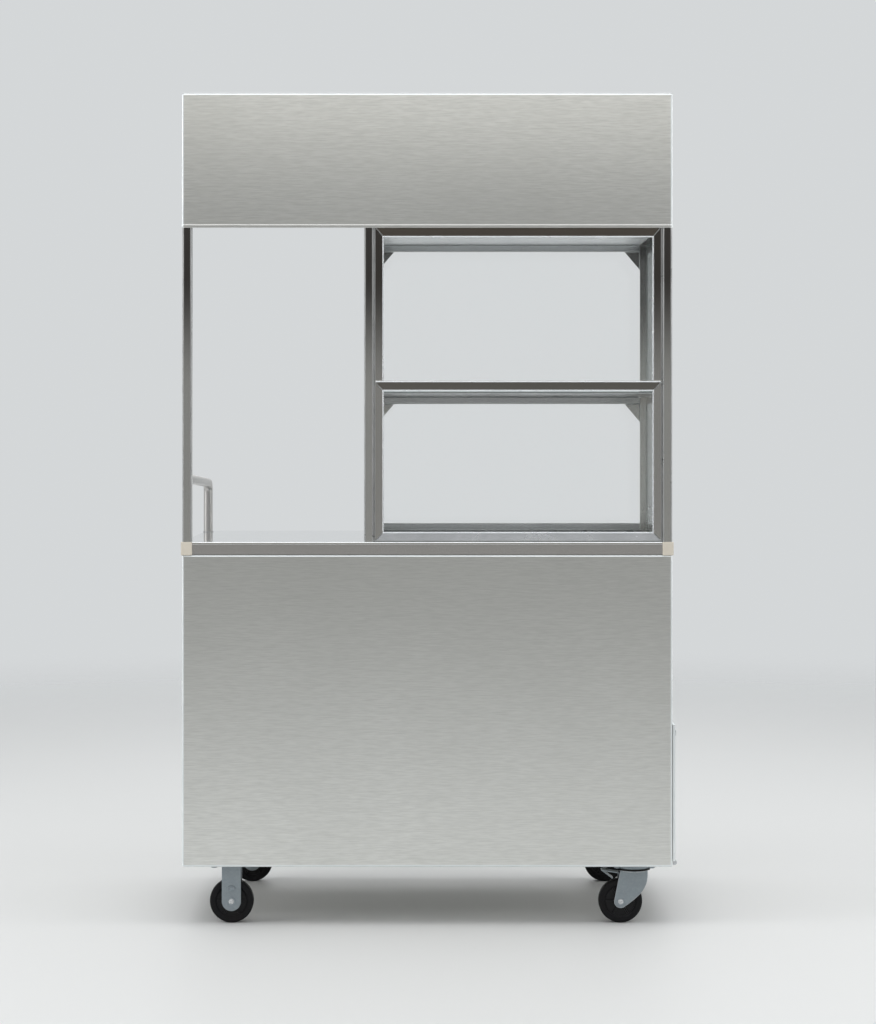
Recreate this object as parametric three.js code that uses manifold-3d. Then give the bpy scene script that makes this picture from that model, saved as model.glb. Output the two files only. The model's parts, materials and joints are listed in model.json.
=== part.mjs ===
// Street food cart in stainless steel: a closed cabinet on casters, a counter, a glazed display case
// on the right, an open serving gap on the left and a roof hood with a tall front board.
// Millimetres, X to the right, Y to the back, Z up. The customer stands at -Y.

import * as THREE from 'three';
import { mergeVertices } from 'three/addons/utils/BufferGeometryUtils.js';
import Module from 'manifold-3d';

const wasm = await Module();
wasm.setup();

// Driving dimensions
const frameWidth = 1000;
const frameDepth = 600;
const roofHeight = 1700;
const baseHeight = 122;
const counterHeight = 784;
const roofBoardHeight = 275;
const caseTopRise = 5;
const servingGapWidth = 351;
const displayShelfHeight = 1086.5;
const cabinetShelfHeight = 440;
const hoodRearHeight = 180;
const tubeSide = 20;
const tubeWall = 1.5;
const tubeCorner = 2.5;
const sheet = 1;
const seatGap = 0.3;
const cutPast = 1;

// Rows of facets on round pieces
const cornerFacets = 3;
const boltFacets = 12;
const pinFacets = 12;
const hingeFacets = 16;
const ringFacets = 32;
const wheelFacets = 32;

// Places that several pieces share
const right = frameWidth / 2;
const left = -right;
const back = frameDepth / 2;
const front = -back;
const innerRight = right - tubeSide;
const innerLeft = left + tubeSide;
const innerBack = back - tubeSide;
const innerFront = front + tubeSide;
const baseTop = baseHeight + tubeSide;
const roofFrameBottom = roofHeight - sheet - tubeSide;
const boardBottom = roofHeight - roofBoardHeight;
const caseTop = boardBottom + caseTopRise;
const middleLeft = innerLeft + servingGapWidth;
const middleRight = middleLeft + tubeSide;

// Small helpers

function solidOf(geometry) {
  const bare = geometry.clone();
  bare.deleteAttribute('normal');
  bare.deleteAttribute('uv');
  const merged = mergeVertices(bare);
  const corners = merged.index.array;
  const kept = [];
  for (let i = 0; i < corners.length; i += 3) {
    const [a, b, c] = [corners[i], corners[i + 1], corners[i + 2]];
    if (a !== b && b !== c && c !== a) kept.push(a, b, c);
  }
  return new wasm.Manifold(new wasm.Mesh({
    numProp: 3,
    vertProperties: new Float32Array(merged.attributes.position.array),
    triVerts: new Uint32Array(kept),
  }));
}

function geometryOf(solid) {
  const mesh = solid.getMesh();
  const geometry = new THREE.BufferGeometry();
  geometry.setAttribute('position', new THREE.BufferAttribute(mesh.vertProperties, 3));
  geometry.setIndex(new THREE.BufferAttribute(mesh.triVerts, 1));
  return geometry;
}

function join(...geometries) {
  return geometryOf(geometries.map(solidOf).reduce((whole, next) => whole.add(next)));
}

function cut(geometry, ...tools) {
  return geometryOf(tools.map(solidOf).reduce((rest, tool) => rest.subtract(tool), solidOf(geometry)));
}

function block([x0, x1], [y0, y1], [z0, z1]) {
  const geometry = new THREE.BoxGeometry(x1 - x0, y1 - y0, z1 - z0);
  return geometry.translate((x0 + x1) / 2, (y0 + y1) / 2, (z0 + z1) / 2);
}

// Turns a piece made along +Z so that its length runs along the named axis.
// An outline is read as (y, z) along X, as (x, z) along Y and as (x, y) along Z.
const axisX = new THREE.Vector3(1, 0, 0);
const axisY = new THREE.Vector3(0, 1, 0);
const axisZ = new THREE.Vector3(0, 0, 1);

function prism(axis, outline, [from, to], facets = cornerFacets) {
  const depth = to - from;
  const geometry = new THREE.ExtrudeGeometry(outline, { depth, bevelEnabled: false, curveSegments: facets });
  const turn = new THREE.Matrix4();
  if (axis === 'X') turn.makeBasis(axisY, axisZ, axisX).setPosition(from, 0, 0);
  if (axis === 'Y') turn.makeBasis(axisX, axisZ, axisY.clone().negate()).setPosition(0, to, 0);
  if (axis === 'Z') turn.setPosition(0, 0, from);
  return geometry.applyMatrix4(turn);
}

// A turned piece: each point is a radius and a height along the axis through the centre.
function turned(axis, points, [x, y, z], facets = ringFacets, closed = false) {
  const profile = points.map(([radius, height]) => new THREE.Vector2(radius, height));
  if (closed) profile.push(profile[0].clone());
  const geometry = new THREE.LatheGeometry(profile, facets, Math.PI / facets);
  const turn = new THREE.Matrix4();
  if (axis === 'X') turn.makeBasis(axisZ, axisX, axisY);
  if (axis === 'Z') turn.makeBasis(axisX, axisZ, axisY.clone().negate());
  return geometry.applyMatrix4(turn.setPosition(x, y, z));
}

function rod(axis, radius, [from, to], centre, facets = pinFacets) {
  return turned(axis, [[0, from], [radius, from], [radius, to], [0, to]], centre, facets);
}

// A cutting tool for a round hole, which runs past both faces.
function hole(axis, radius, [from, to], centre, facets = pinFacets) {
  return rod(axis, radius, [from - cutPast, to + cutPast], centre, facets);
}

// The hole that a faceted pin of this radius turns in with a running gap.
function boreFor(radius, facets) {
  return (radius + seatGap) / Math.cos(Math.PI / facets);
}

function rectangle([u0, u1], [v0, v1], radius = 0) {
  const shape = new THREE.Shape();
  shape.moveTo(u0 + radius, v0);
  shape.lineTo(u1 - radius, v0);
  if (radius > 0) shape.absarc(u1 - radius, v0 + radius, radius, -Math.PI / 2, 0);
  shape.lineTo(u1, v1 - radius);
  if (radius > 0) shape.absarc(u1 - radius, v1 - radius, radius, 0, Math.PI / 2);
  shape.lineTo(u0 + radius, v1);
  if (radius > 0) shape.absarc(u0 + radius, v1 - radius, radius, Math.PI / 2, Math.PI);
  shape.lineTo(u0, v0 + radius);
  if (radius > 0) shape.absarc(u0 + radius, v0 + radius, radius, Math.PI, Math.PI * 1.5);
  return shape;
}

function polygon(points) {
  return new THREE.Shape(points.map(([u, v]) => new THREE.Vector2(u, v)));
}

function withHoles(shape, ...holes) {
  shape.holes.push(...holes);
  return shape;
}

// A round-cornered square tube, open at both ends.
function tube(axis, along, across, up) {
  const bore = rectangle([across[0] + tubeWall, across[1] - tubeWall], [up[0] + tubeWall, up[1] - tubeWall]);
  return prism(axis, withHoles(rectangle(across, up, tubeCorner), bore), along);
}

// Welded tubes: the bars join, and their bores run on into each other.
function weldedFrame(bars) {
  const outer = bars.map(({ x, y, z }) => block(x, y, z));
  const bores = bars.map(({ x, y, z, along }) => {
    const reach = along === 'X' ? 0 : tubeSide / 2;
    const bore = { x: inset(x, tubeWall), y: inset(y, tubeWall), z: inset(z, tubeWall) };
    if (along === 'X') bore.x = x;
    if (along === 'Y') bore.y = [y[0] - reach, y[1] + reach];
    return block(bore.x, bore.y, bore.z);
  });
  return cut(join(...outer), ...bores);
}

function sorted(a, b) {
  return a < b ? [a, b] : [b, a];
}

// Rounds the four outer corners of a frame as seen from above.
function roundCorners(geometry, z) {
  const outline = prism('Z', rectangle([left, right], [front, back], tubeCorner), z);
  return geometryOf(solidOf(geometry).intersect(solidOf(outline)));
}

function inset([low, high], wall) {
  return [low + wall, high - wall];
}

// Materials

const steelFinish = { color: 0xc3c1bb, roughness: 0.34, metalness: 1 };
const finishes = {
  brushedSteel: steelFinish,
  tubeSteel: { color: 0x9b9a92, roughness: 0.24, metalness: 1 },
  polishedSteel: { color: 0xb9bcbc, roughness: 0.12, metalness: 1 },
  zincSteel: { color: 0x9aa0a2, roughness: 0.4, metalness: 1 },
  creamPlastic: { color: 0xdad2c0, roughness: 0.45, metalness: 0 },
  clearGlass: { color: 0xe8f2f2, roughness: 0.03, metalness: 0, transparent: true, opacity: 0.3 },
  blackRubber: { color: 0x141414, roughness: 0.6, metalness: 0 },
  blackPlastic: { color: 0x1c1c1c, roughness: 0.5, metalness: 0 },
};

const cart = new THREE.Group();

function add(name, geometry, finish) {
  const mesh = new THREE.Mesh(geometry, new THREE.MeshStandardMaterial(finishes[finish]));
  mesh.name = name;
  cart.add(mesh);
}

// Base frame, floor and posts

const channelWidth = 106;
const channelWall = 3;
const plateLength = 90;
const rigidPlateDepth = 62;
const swivelPlateDepth = 78;
const plateWall = 3;
const boltInset = 10;
const boltRadius = 4;
const boltHole = boltRadius + seatGap * 1.5;
const wheelSetBack = 50;
const frontRigidInset = 98;
const rearRigidInset = 108;
const swivelInset = 76;
const frontRigidX = left + frontRigidInset;
const rearRigidX = left + rearRigidInset;
const swivelAxisX = right - swivelInset;
const trail = 27;
const frontWheelY = front + wheelSetBack;
const rearWheelY = back - wheelSetBack;

function boltPlaces(x, y, depth) {
  const reachX = plateLength / 2 - boltInset;
  const reachY = depth / 2 - boltInset;
  return [-reachX, reachX].flatMap((dx) => [-reachY, reachY].map((dy) => [x + dx, y + dy]));
}

const rigidCasters = [['front', frontRigidX, frontWheelY], ['rear', rearRigidX, rearWheelY]];
const swivelCasters = [['front', swivelAxisX, frontWheelY], ['rear', swivelAxisX, rearWheelY]];
const rigidBolts = rigidCasters.flatMap(([, x, y]) => boltPlaces(x, y, rigidPlateDepth));
const swivelBolts = swivelCasters.flatMap(([, x, y]) => boltPlaces(x, y, swivelPlateDepth));

function boltBores(places, z) {
  return places.map(([x, y]) => hole('Z', boltHole, z, [x, y, 0], boltFacets));
}

function casterChannel(centreX, bolts) {
  const x = [centreX - channelWidth / 2, centreX + channelWidth / 2];
  const y = [innerFront, innerBack];
  const tray = cut(
    block(x, y, [baseHeight, baseTop]),
    block(inset(x, channelWall), y, [baseHeight + channelWall, baseTop]),
  );
  return cut(tray, ...boltBores(bolts, [baseHeight, baseHeight + channelWall]));
}

function baseFrame() {
  const z = [baseHeight, baseTop];
  const ring = weldedFrame([
    { x: [left, right], y: [front, innerFront], z, along: 'X' },
    { x: [left, right], y: [innerBack, back], z, along: 'X' },
    { x: [left, innerLeft], y: [innerFront, innerBack], z, along: 'Y' },
    { x: [innerRight, right], y: [innerFront, innerBack], z, along: 'Y' },
  ]);
  const rigidChannel = casterChannel((frontRigidX + rearRigidX) / 2, rigidBolts);
  return roundCorners(join(ring, rigidChannel, casterChannel(swivelAxisX, swivelBolts)), z);
}

function cornerNotched(x, y, notch) {
  return polygon([
    [x[0] + notch, y[0]], [x[1] - notch, y[0]], [x[1] - notch, y[0] + notch], [x[1], y[0] + notch],
    [x[1], y[1] - notch], [x[1] - notch, y[1] - notch], [x[1] - notch, y[1]], [x[0] + notch, y[1]],
    [x[0] + notch, y[1] - notch], [x[0], y[1] - notch], [x[0], y[0] + notch], [x[0] + notch, y[0] + notch],
  ]);
}

function post(x, y, z) {
  return tube('Z', z, x, y);
}

add('base_frame', baseFrame(), 'tubeSteel');
const panOutline = cornerNotched([left, right], [front, back], tubeSide);
add('floor_pan', prism('Z', panOutline, [baseTop, baseTop + sheet]),
  'brushedSteel');

const frontPostY = [front, innerFront];
const rearPostY = [innerBack, back];
const leftPostX = [left, innerLeft];
const rightPostX = [innerRight, right];
const middlePostX = [middleLeft, middleRight];
const counterUnderside = counterHeight - sheet;

add('post_front_left', post(leftPostX, frontPostY, [baseTop, roofFrameBottom]), 'tubeSteel');
add('post_front_right', post(rightPostX, frontPostY, [baseTop, roofFrameBottom]), 'tubeSteel');
add('post_middle_front', post(middlePostX, frontPostY, [counterHeight, roofFrameBottom]), 'tubeSteel');
add('post_middle_rear', post(middlePostX, rearPostY, [counterHeight, roofFrameBottom]), 'tubeSteel');

// Counter

const counterRailHeight = 25;
const counterLip = 5;
const capWall = 2.5;
const counterRailBottom = counterUnderside - counterRailHeight;
const panelTop = counterRailBottom - sheet;
const counterLipBottom = counterHeight - counterLip;

function counterFrame() {
  const z = [counterRailBottom, counterUnderside];
  const y = [innerFront, innerBack];
  return weldedFrame([
    { x: [innerLeft, innerRight], y: frontPostY, z, along: 'X' },
    { x: [innerLeft, innerRight], y: rearPostY, z, along: 'X' },
    { x: [innerLeft, innerLeft + tubeSide], y, z, along: 'Y' },
    { x: middlePostX, y, z, along: 'Y' },
    { x: [innerRight - tubeSide, innerRight], y, z, along: 'Y' },
  ]);
}

function counterTop() {
  const outside = { x: [left - sheet, right + sheet], y: [front - sheet, back + sheet] };
  const outline = polygon([
    [innerLeft, outside.y[0]], [innerRight, outside.y[0]], [innerRight, innerFront],
    [outside.x[1], innerFront], [outside.x[1], innerBack], [innerRight, innerBack],
    [innerRight, outside.y[1]], [outside.x[0], outside.y[1]], [outside.x[0], innerFront],
    [innerLeft, innerFront],
  ]);
  const lip = [counterLipBottom, counterHeight];
  return join(
    prism('Z', outline, [counterUnderside, counterHeight]),
    block([innerLeft, innerRight], [outside.y[0], front], lip),
    block([outside.x[0], left], [innerFront, outside.y[1]], lip),
    block([right, outside.x[1]], [innerFront, innerBack], lip),
    block([outside.x[0], innerRight], [back, outside.y[1]], lip),
  );
}

// A cap wraps the outer corner of a front post where the counter meets it.
function cornerCap(side) {
  const outerX = side * (right + capWall);
  const postX = side * right;
  const innerX = side * innerRight;
  const points = [
    [outerX, front - capWall], [innerX, front - capWall], [innerX, front],
    [postX, front], [postX, innerFront], [outerX, innerFront],
  ];
  if (side > 0) points.reverse();
  return prism('Z', polygon(points), [panelTop, counterHeight]);
}

add('counter_frame', counterFrame(), 'tubeSteel');
add('counter_top', counterTop(), 'polishedSteel');
add('corner_cap_left', cornerCap(-1), 'creamPlastic');
add('corner_cap_right', cornerCap(1), 'creamPlastic');

// Cabinet panels

const foldRadius = 3;
const panelTopFlange = 14;
const panelBottomFlange = 8;
const hatchOpeningY = [-260, 260];
const hatchOpeningZ = [152, 396];

// A front sheet seen from above: flat across the front, with both ends folded back onto the posts.
function foldedSheet(z) {
  const outerRadius = foldRadius;
  const innerRadius = foldRadius - sheet;
  const [x0, x1, y0] = [left - sheet, right + sheet, front - sheet];
  const shape = new THREE.Shape();
  shape.moveTo(x0, innerFront);
  shape.lineTo(x0, y0 + outerRadius);
  shape.absarc(x0 + outerRadius, y0 + outerRadius, outerRadius, Math.PI, Math.PI * 1.5);
  shape.lineTo(x1 - outerRadius, y0);
  shape.absarc(x1 - outerRadius, y0 + outerRadius, outerRadius, -Math.PI / 2, 0);
  shape.lineTo(x1, innerFront);
  shape.lineTo(right, innerFront);
  shape.lineTo(right, front + innerRadius);
  shape.absarc(right - innerRadius, front + innerRadius, innerRadius, 0, -Math.PI / 2, true);
  shape.lineTo(left + innerRadius, front);
  shape.absarc(left + innerRadius, front + innerRadius, innerRadius, -Math.PI / 2, -Math.PI, true);
  shape.lineTo(left, innerFront);
  return prism('Z', shape, z);
}

function frontPanel() {
  return join(
    foldedSheet([baseHeight - sheet, panelTop]),
    block([innerLeft, innerRight], [front - sheet, front + panelTopFlange], [panelTop - sheet, panelTop]),
    block([left, right], [front - sheet, front + panelBottomFlange], [baseHeight - sheet, baseHeight]),
  );
}

const sidePanelY = [innerFront, back];
const sidePanelZ = [baseHeight, counterLipBottom];

add('front_panel', frontPanel(), 'brushedSteel');
add('left_side_panel', block([left - sheet, left], sidePanelY, sidePanelZ), 'brushedSteel');
add('right_side_panel', prism('X',
  withHoles(rectangle(sidePanelY, sidePanelZ), rectangle(hatchOpeningY, hatchOpeningZ)),
  [right, right + sheet]), 'brushedSteel');

// Cabinet shelf: a pan with its edges folded down, welded by its end folds to both side panels

const shelfFold = 20;

function cabinetShelf() {
  const x = [left, right];
  const y = inset([innerFront, innerBack], sheet);
  const z = [cabinetShelfHeight - shelfFold, cabinetShelfHeight];
  return cut(block(x, y, z), block(inset(x, sheet), inset(y, sheet), [z[0], z[1] - sheet]));
}

add('cabinet_shelf', cabinetShelf(), 'brushedSteel');

// Display case: angle frames on three sides, glass behind their faces, an open back for serving

const angleWall = 1.5;
const angleFace = 20;
const shelfEndGap = 2;
const topRailFace = 24;
const midRailRise = 5.5;
const midRailBottom = displayShelfHeight + midRailRise;
const midRailFace = 21;
const frameRecess = 1;
const glassWall = 4;
const glassGap = 1.5;
const caseRail = 16;
const bottomRail = 18;
const shelfRailWidth = 14;
const gussetWidth = 34;
const gussetHeight = 40;
const gussetWall = 2;
const caseZ = [counterHeight, caseTop];
const windowTop = caseTop - topRailFace;
const windowBottom = counterHeight + angleFace;

// An angle frame: a thin face with its windows, and a rim that runs back from its outer edge.
function angleFrame(axis, across, face, rim, windows) {
  const plate = withHoles(rectangle(across, caseZ), ...windows);
  const opening = rectangle(inset(across, angleWall), inset(caseZ, angleWall));
  const ring = withHoles(rectangle(across, caseZ), opening);
  return join(prism(axis, plate, face), prism(axis, ring, rim));
}

function frontCaseFrame() {
  const across = [middleRight, innerRight];
  const openX = inset(across, angleFace);
  const faceY = [front + frameRecess, front + frameRecess + angleWall];
  const rimY = [faceY[1], innerFront];
  const frame = angleFrame('Y', across, faceY, rimY, [
    rectangle(openX, [midRailBottom + midRailFace, windowTop]),
    rectangle(openX, [windowBottom, midRailBottom]),
  ]);
  return join(frame, block(across, [faceY[0], faceY[1] + glassWall + angleWall],
    [midRailBottom, midRailBottom + angleWall]));
}

function shelfAngle([glassSide, openSide]) {
  const wallEdge = glassSide + Math.sign(openSide - glassSide) * angleWall;
  const z = [displayShelfHeight - caseRail, displayShelfHeight];
  const y = [innerFront, innerBack];
  return join(
    block(sorted(glassSide, wallEdge), y, z),
    block(sorted(glassSide, openSide), y, [z[1] - angleWall, z[1]]),
  );
}

// A side frame carries one end of the display shelf on an angle welded across it.
function sideCaseFrame(face, rim, railX) {
  const across = [innerFront, innerBack];
  const window = rectangle(inset(across, angleFace), [windowBottom, windowTop]);
  return join(angleFrame('X', across, face, rim, [window]), shelfAngle(railX));
}

const leftShelfRailX = [middleRight - shelfRailWidth, middleRight];
const rightShelfRailX = [innerRight + shelfRailWidth, innerRight];

add('case_front_frame', frontCaseFrame(), 'tubeSteel');
add('case_left_frame', sideCaseFrame(
  [middleLeft, middleLeft + angleWall],
  [middleLeft + angleWall, middleRight],
  leftShelfRailX,
), 'tubeSteel');
add('case_right_frame', sideCaseFrame(
  [right - angleWall, right],
  [innerRight, right - angleWall],
  rightShelfRailX,
), 'tubeSteel');

const frontGlassY = [front + frameRecess + angleWall, front + frameRecess + angleWall + glassWall];
const frontGlassX = inset([middleRight, innerRight], angleWall + glassGap);
const sideGlassY = inset([innerFront, innerBack], angleWall + glassGap);
const sideGlassZ = inset(caseZ, angleWall + glassGap);
const midRailRimTop = midRailBottom + angleWall;

add('front_glass_upper', block(frontGlassX, frontGlassY, [midRailRimTop, caseTop - angleWall - glassGap]),
  'clearGlass');
const lowerGlassZ = [counterHeight + angleWall, midRailBottom - glassGap];
add('front_glass_lower', block(frontGlassX, frontGlassY, lowerGlassZ),
  'clearGlass');
add('left_glass', block([middleLeft + angleWall, middleLeft + angleWall + glassWall], sideGlassY, sideGlassZ),
  'clearGlass');
const rightGlassX = [right - angleWall - glassWall, right - angleWall];
add('right_glass', block(rightGlassX, sideGlassY, sideGlassZ), 'clearGlass');

function rearRail(z) {
  return tube('X', [middleRight, innerRight], [innerBack, innerBack + caseRail], z);
}

// A small triangle braces the corner between a rear post and the rail above the opening.
function gusset(side, railBottom) {
  const cornerX = side > 0 ? innerRight : middleRight;
  const points = [
    [cornerX, railBottom], [cornerX - side * gussetWidth, railBottom], [cornerX, railBottom - gussetHeight],
  ];
  if (side < 0) points.reverse();
  const centreY = innerBack + caseRail / 2;
  return prism('Y', polygon(points), [centreY - gussetWall / 2, centreY + gussetWall / 2]);
}

function bracedRail(top) {
  const bottom = top - caseRail;
  return join(rearRail([bottom, top]), gusset(-1, bottom), gusset(1, bottom));
}

add('case_top_rail', bracedRail(caseTop), 'tubeSteel');
add('case_middle_rail', bracedRail(displayShelfHeight), 'tubeSteel');
add('case_bottom_rail', rearRail([counterHeight, counterHeight + bottomRail]), 'tubeSteel');

function displayShelf() {
  const wide = inset([leftShelfRailX[0], rightShelfRailX[0]], shelfEndGap);
  const narrow = inset([middleRight, innerRight], angleWall + shelfEndGap);
  const endInset = angleWall + shelfEndGap;
  const y = [frontGlassY[1] + sheet, innerFront + endInset, innerBack - endInset, innerBack + caseRail];
  const plate = polygon([
    [narrow[0], y[0]], [narrow[1], y[0]], [narrow[1], y[1]], [wide[1], y[1]], [wide[1], y[2]],
    [narrow[1], y[2]], [narrow[1], y[3]], [narrow[0], y[3]], [narrow[0], y[2]], [wide[0], y[2]],
    [wide[0], y[1]], [narrow[0], y[1]],
  ]);
  return join(
    prism('Z', plate, [displayShelfHeight, displayShelfHeight + sheet]),
    block(narrow, [y[0], y[0] + sheet], [displayShelfHeight, midRailBottom - sheet]),
  );
}

function caseCeiling() {
  const outline = cornerNotched([middleLeft, right], [front + sheet, back], tubeSide);
  return prism('Z', outline, [caseTop, caseTop + sheet]);
}

add('case_shelf', displayShelf(), 'polishedSteel');
add('case_ceiling', caseCeiling(), 'polishedSteel');

// Roof hood: a tube ring, a top sheet, the tall front board and a shell round the other three sides

const hemHeight = 7;
const hemEndInset = 4;

function roofFrame() {
  const z = [roofFrameBottom, roofHeight - sheet];
  const y = [innerFront, innerBack];
  const ring = weldedFrame([
    { x: [left, right], y: frontPostY, z, along: 'X' },
    { x: [left, right], y: rearPostY, z, along: 'X' },
    { x: leftPostX, y, z, along: 'Y' },
    { x: middlePostX, y, z, along: 'Y' },
    { x: rightPostX, y, z, along: 'Y' },
  ]);
  return roundCorners(ring, z);
}

function frontBoard() {
  const hemX = inset([left, right], hemEndInset);
  return join(
    foldedSheet([boardBottom, roofHeight]),
    block(hemX, [front - sheet * 2, front - sheet / 2], [boardBottom, boardBottom + hemHeight]),
  );
}

// The side sheets rise towards the back, so the shell is cut along one slope.
function hoodShell() {
  const outer = { x: [left - sheet, right + sheet], y: [innerFront, back + sheet] };
  const shell = cut(
    block(outer.x, outer.y, [boardBottom, roofHeight]),
    block([left, right], [outer.y[0], back], [boardBottom, roofHeight]),
  );
  const rearBottom = roofHeight - hoodRearHeight;
  const below = polygon([[outer.y[0], boardBottom], [outer.y[1], boardBottom], [outer.y[1], rearBottom]]);
  return cut(shell, prism('X', below, outer.x));
}

add('roof_frame', roofFrame(), 'tubeSteel');
const roofOutline = rectangle([left, right], [front, back], tubeCorner);
add('roof_top', prism('Z', roofOutline, [roofHeight - sheet, roofHeight]),
  'brushedSteel');
add('front_board', frontBoard(), 'brushedSteel');
add('hood_shell', hoodShell(), 'brushedSteel');

// Bent hand rail over the left edge of the counter

const railRadius = 10;
const railFacets = 16;
const railStub = 6;
const railRiseAtPost = 129;
const railRiseAtBend = 110;
const railEndSetBack = 527;
const railBend = 22;
const railBendSteps = 6;

// A curve through given points, one step of an extrusion for each of them.
class PointPath extends THREE.Curve {
  constructor(points) {
    super();
    this.points = points;
  }

  getPoint(t) {
    const place = t * (this.points.length - 1);
    const index = Math.min(Math.floor(place), this.points.length - 2);
    return this.points[index].clone().lerp(this.points[index + 1], place - index);
  }

  getUtoTmapping(u) {
    return u;
  }
}

function railPoints() {
  const x = left + railRadius;
  const y = { post: innerFront + seatGap, leg: front + railEndSetBack };
  const z = { post: counterHeight + railRiseAtPost, bend: counterHeight + railRiseAtBend };
  const centre = { y: y.leg - railBend, z: z.bend - railBend };
  const bend = Array.from({ length: railBendSteps + 1 }, (_, i) => {
    const turn = Math.PI / 2 * (1 - i / railBendSteps);
    return new THREE.Vector3(x, centre.y + Math.cos(turn) * railBend, centre.z + Math.sin(turn) * railBend);
  });
  return [
    new THREE.Vector3(x, y.post, z.post),
    new THREE.Vector3(x, y.post + railStub, z.post),
    ...bend,
    new THREE.Vector3(x, y.leg, counterHeight + seatGap),
  ];
}

function sideHandRail() {
  const points = railPoints();
  const outline = new THREE.Shape();
  outline.absarc(0, 0, railRadius, 0, Math.PI * 2);
  return new THREE.ExtrudeGeometry(outline, {
    steps: points.length - 1,
    extrudePath: new PointPath(points),
    curveSegments: railFacets,
    bevelEnabled: false,
  });
}

add('side_hand_rail', sideHandRail(), 'tubeSteel');

// Casters: two rigid at the left, two swivelling at the right

const wheelRadius = 45;
const hubHalf = 16;
const hubRadius = 12;
const webHalf = 9;
const rimRadius = 32;
const tyreHalf = 13;
const treadRound = 4;
const axleRadius = 4;
const forkWall = 2.5;
const forkHalfGap = 16.5;
const forkHalf = forkHalfGap + forkWall;
const rigidLegHalf = 19.5;
const axleHeadRadius = 6;
const axleHead = 2.5;
const nutRadius = 7.5;
const nutHeight = 6;
const nutFacets = 6;
const plateBottom = baseHeight - plateWall;
const legFacets = 12;
const axleHole = boreFor(axleRadius, boltFacets);

function wheel(x, y) {
  const outer = wheelRadius / Math.cos(Math.PI / wheelFacets);
  const halfProfile = [
    [hubRadius, hubHalf], [hubRadius, webHalf], [rimRadius, webHalf], [rimRadius, tyreHalf],
    [outer - treadRound, tyreHalf], [outer, tyreHalf - treadRound],
  ];
  const upper = [[axleHole, hubHalf], ...halfProfile];
  const lower = upper.map(([radius, height]) => [radius, -height]).reverse();
  return turned('Y', [...lower.reverse(), ...upper.reverse()], [x, y, wheelRadius], wheelFacets, true);
}

function axle(x, y) {
  const centre = [x, y, wheelRadius];
  const head = turned('Y', [
    [0, -forkHalf - axleHead], [axleHeadRadius / 2, -forkHalf - axleHead],
    [axleHeadRadius, -forkHalf - axleHead / 2], [axleHeadRadius, -forkHalf - seatGap],
    [0, -forkHalf - seatGap],
  ], centre, boltFacets);
  const shank = rod('Y', axleRadius, [-forkHalf - axleHead / 2, forkHalf + nutHeight], centre, boltFacets);
  const nut = rod('Y', nutRadius, [forkHalf + seatGap, forkHalf + nutHeight - seatGap], centre, nutFacets);
  return join(head, shank, nut);
}

function topPlate(x, y, depth) {
  const plate = block([x - plateLength / 2, x + plateLength / 2], [y - depth / 2, y + depth / 2],
    [plateBottom, baseHeight]);
  return cut(plate, ...boltBores(boltPlaces(x, y, depth), [plateBottom, baseHeight]));
}

function legPair(outline, y) {
  return [-1, 1].map((side) => {
    const span = [y + side * forkHalfGap, y + side * forkHalf].sort((a, b) => a - b);
    return prism('Y', outline, span, legFacets);
  });
}

function rigidFork(x, y) {
  const outline = new THREE.Shape();
  outline.moveTo(x + rigidLegHalf, plateBottom);
  outline.lineTo(x - rigidLegHalf, plateBottom);
  outline.absarc(x, wheelRadius, rigidLegHalf, Math.PI, Math.PI * 2);
  const bridge = block([x - rigidLegHalf, x + rigidLegHalf], [y - forkHalf, y + forkHalf],
    [plateBottom - forkWall, plateBottom]);
  const fork = join(topPlate(x, y, rigidPlateDepth), bridge, ...legPair(outline, y));
  return cut(fork, hole('Y', axleHole, [-forkHalf, forkHalf], [x, y, wheelRadius], boltFacets));
}

const raceRadius = 33;
const raceHeight = 6.5;
const ringRadius = 35;
const ringHeight = 3.4;
const ringBore = 26;
const kingpinRadius = 6;
const kingpinHead = 3;
const kingpinHeadRadius = 10;
const forkTop = plateBottom - raceHeight - ringHeight - seatGap;
const forkCrown = 3;
const crownRadius = 30;

function swivelPlate(x, y) {
  const raceBottom = plateBottom - raceHeight;
  const headTop = forkTop - forkCrown - seatGap;
  const race = turned('Z', [
    [0, headTop - kingpinHead], [kingpinHeadRadius, headTop - kingpinHead], [kingpinHeadRadius, headTop],
    [kingpinRadius, headTop], [kingpinRadius, raceBottom], [raceRadius, raceBottom],
    [raceRadius, plateBottom + plateWall / 2], [0, plateBottom + plateWall / 2],
  ], [x, y, 0]);
  return join(topPlate(x, y, swivelPlateDepth), race);
}

function bearingRing(x, y) {
  const top = plateBottom - raceHeight;
  return turned('Z', [
    [ringBore, top - ringHeight], [ringRadius, top - ringHeight], [ringRadius, top], [ringBore, top],
  ], [x, y, 0], ringFacets, true);
}

// The leg of a swivel fork runs from its crown down and forward to the axle, measured from the axle.
const legLeft = 1;
const legRight = 56;
const legShoulderRise = 34;
const legWaist = 43;
const legWaistRise = 18;
const legRound = 13.5;
const brakePinForward = 6;
const brakePinRise = 53;
const brakePinRadius = 2.5;

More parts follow.
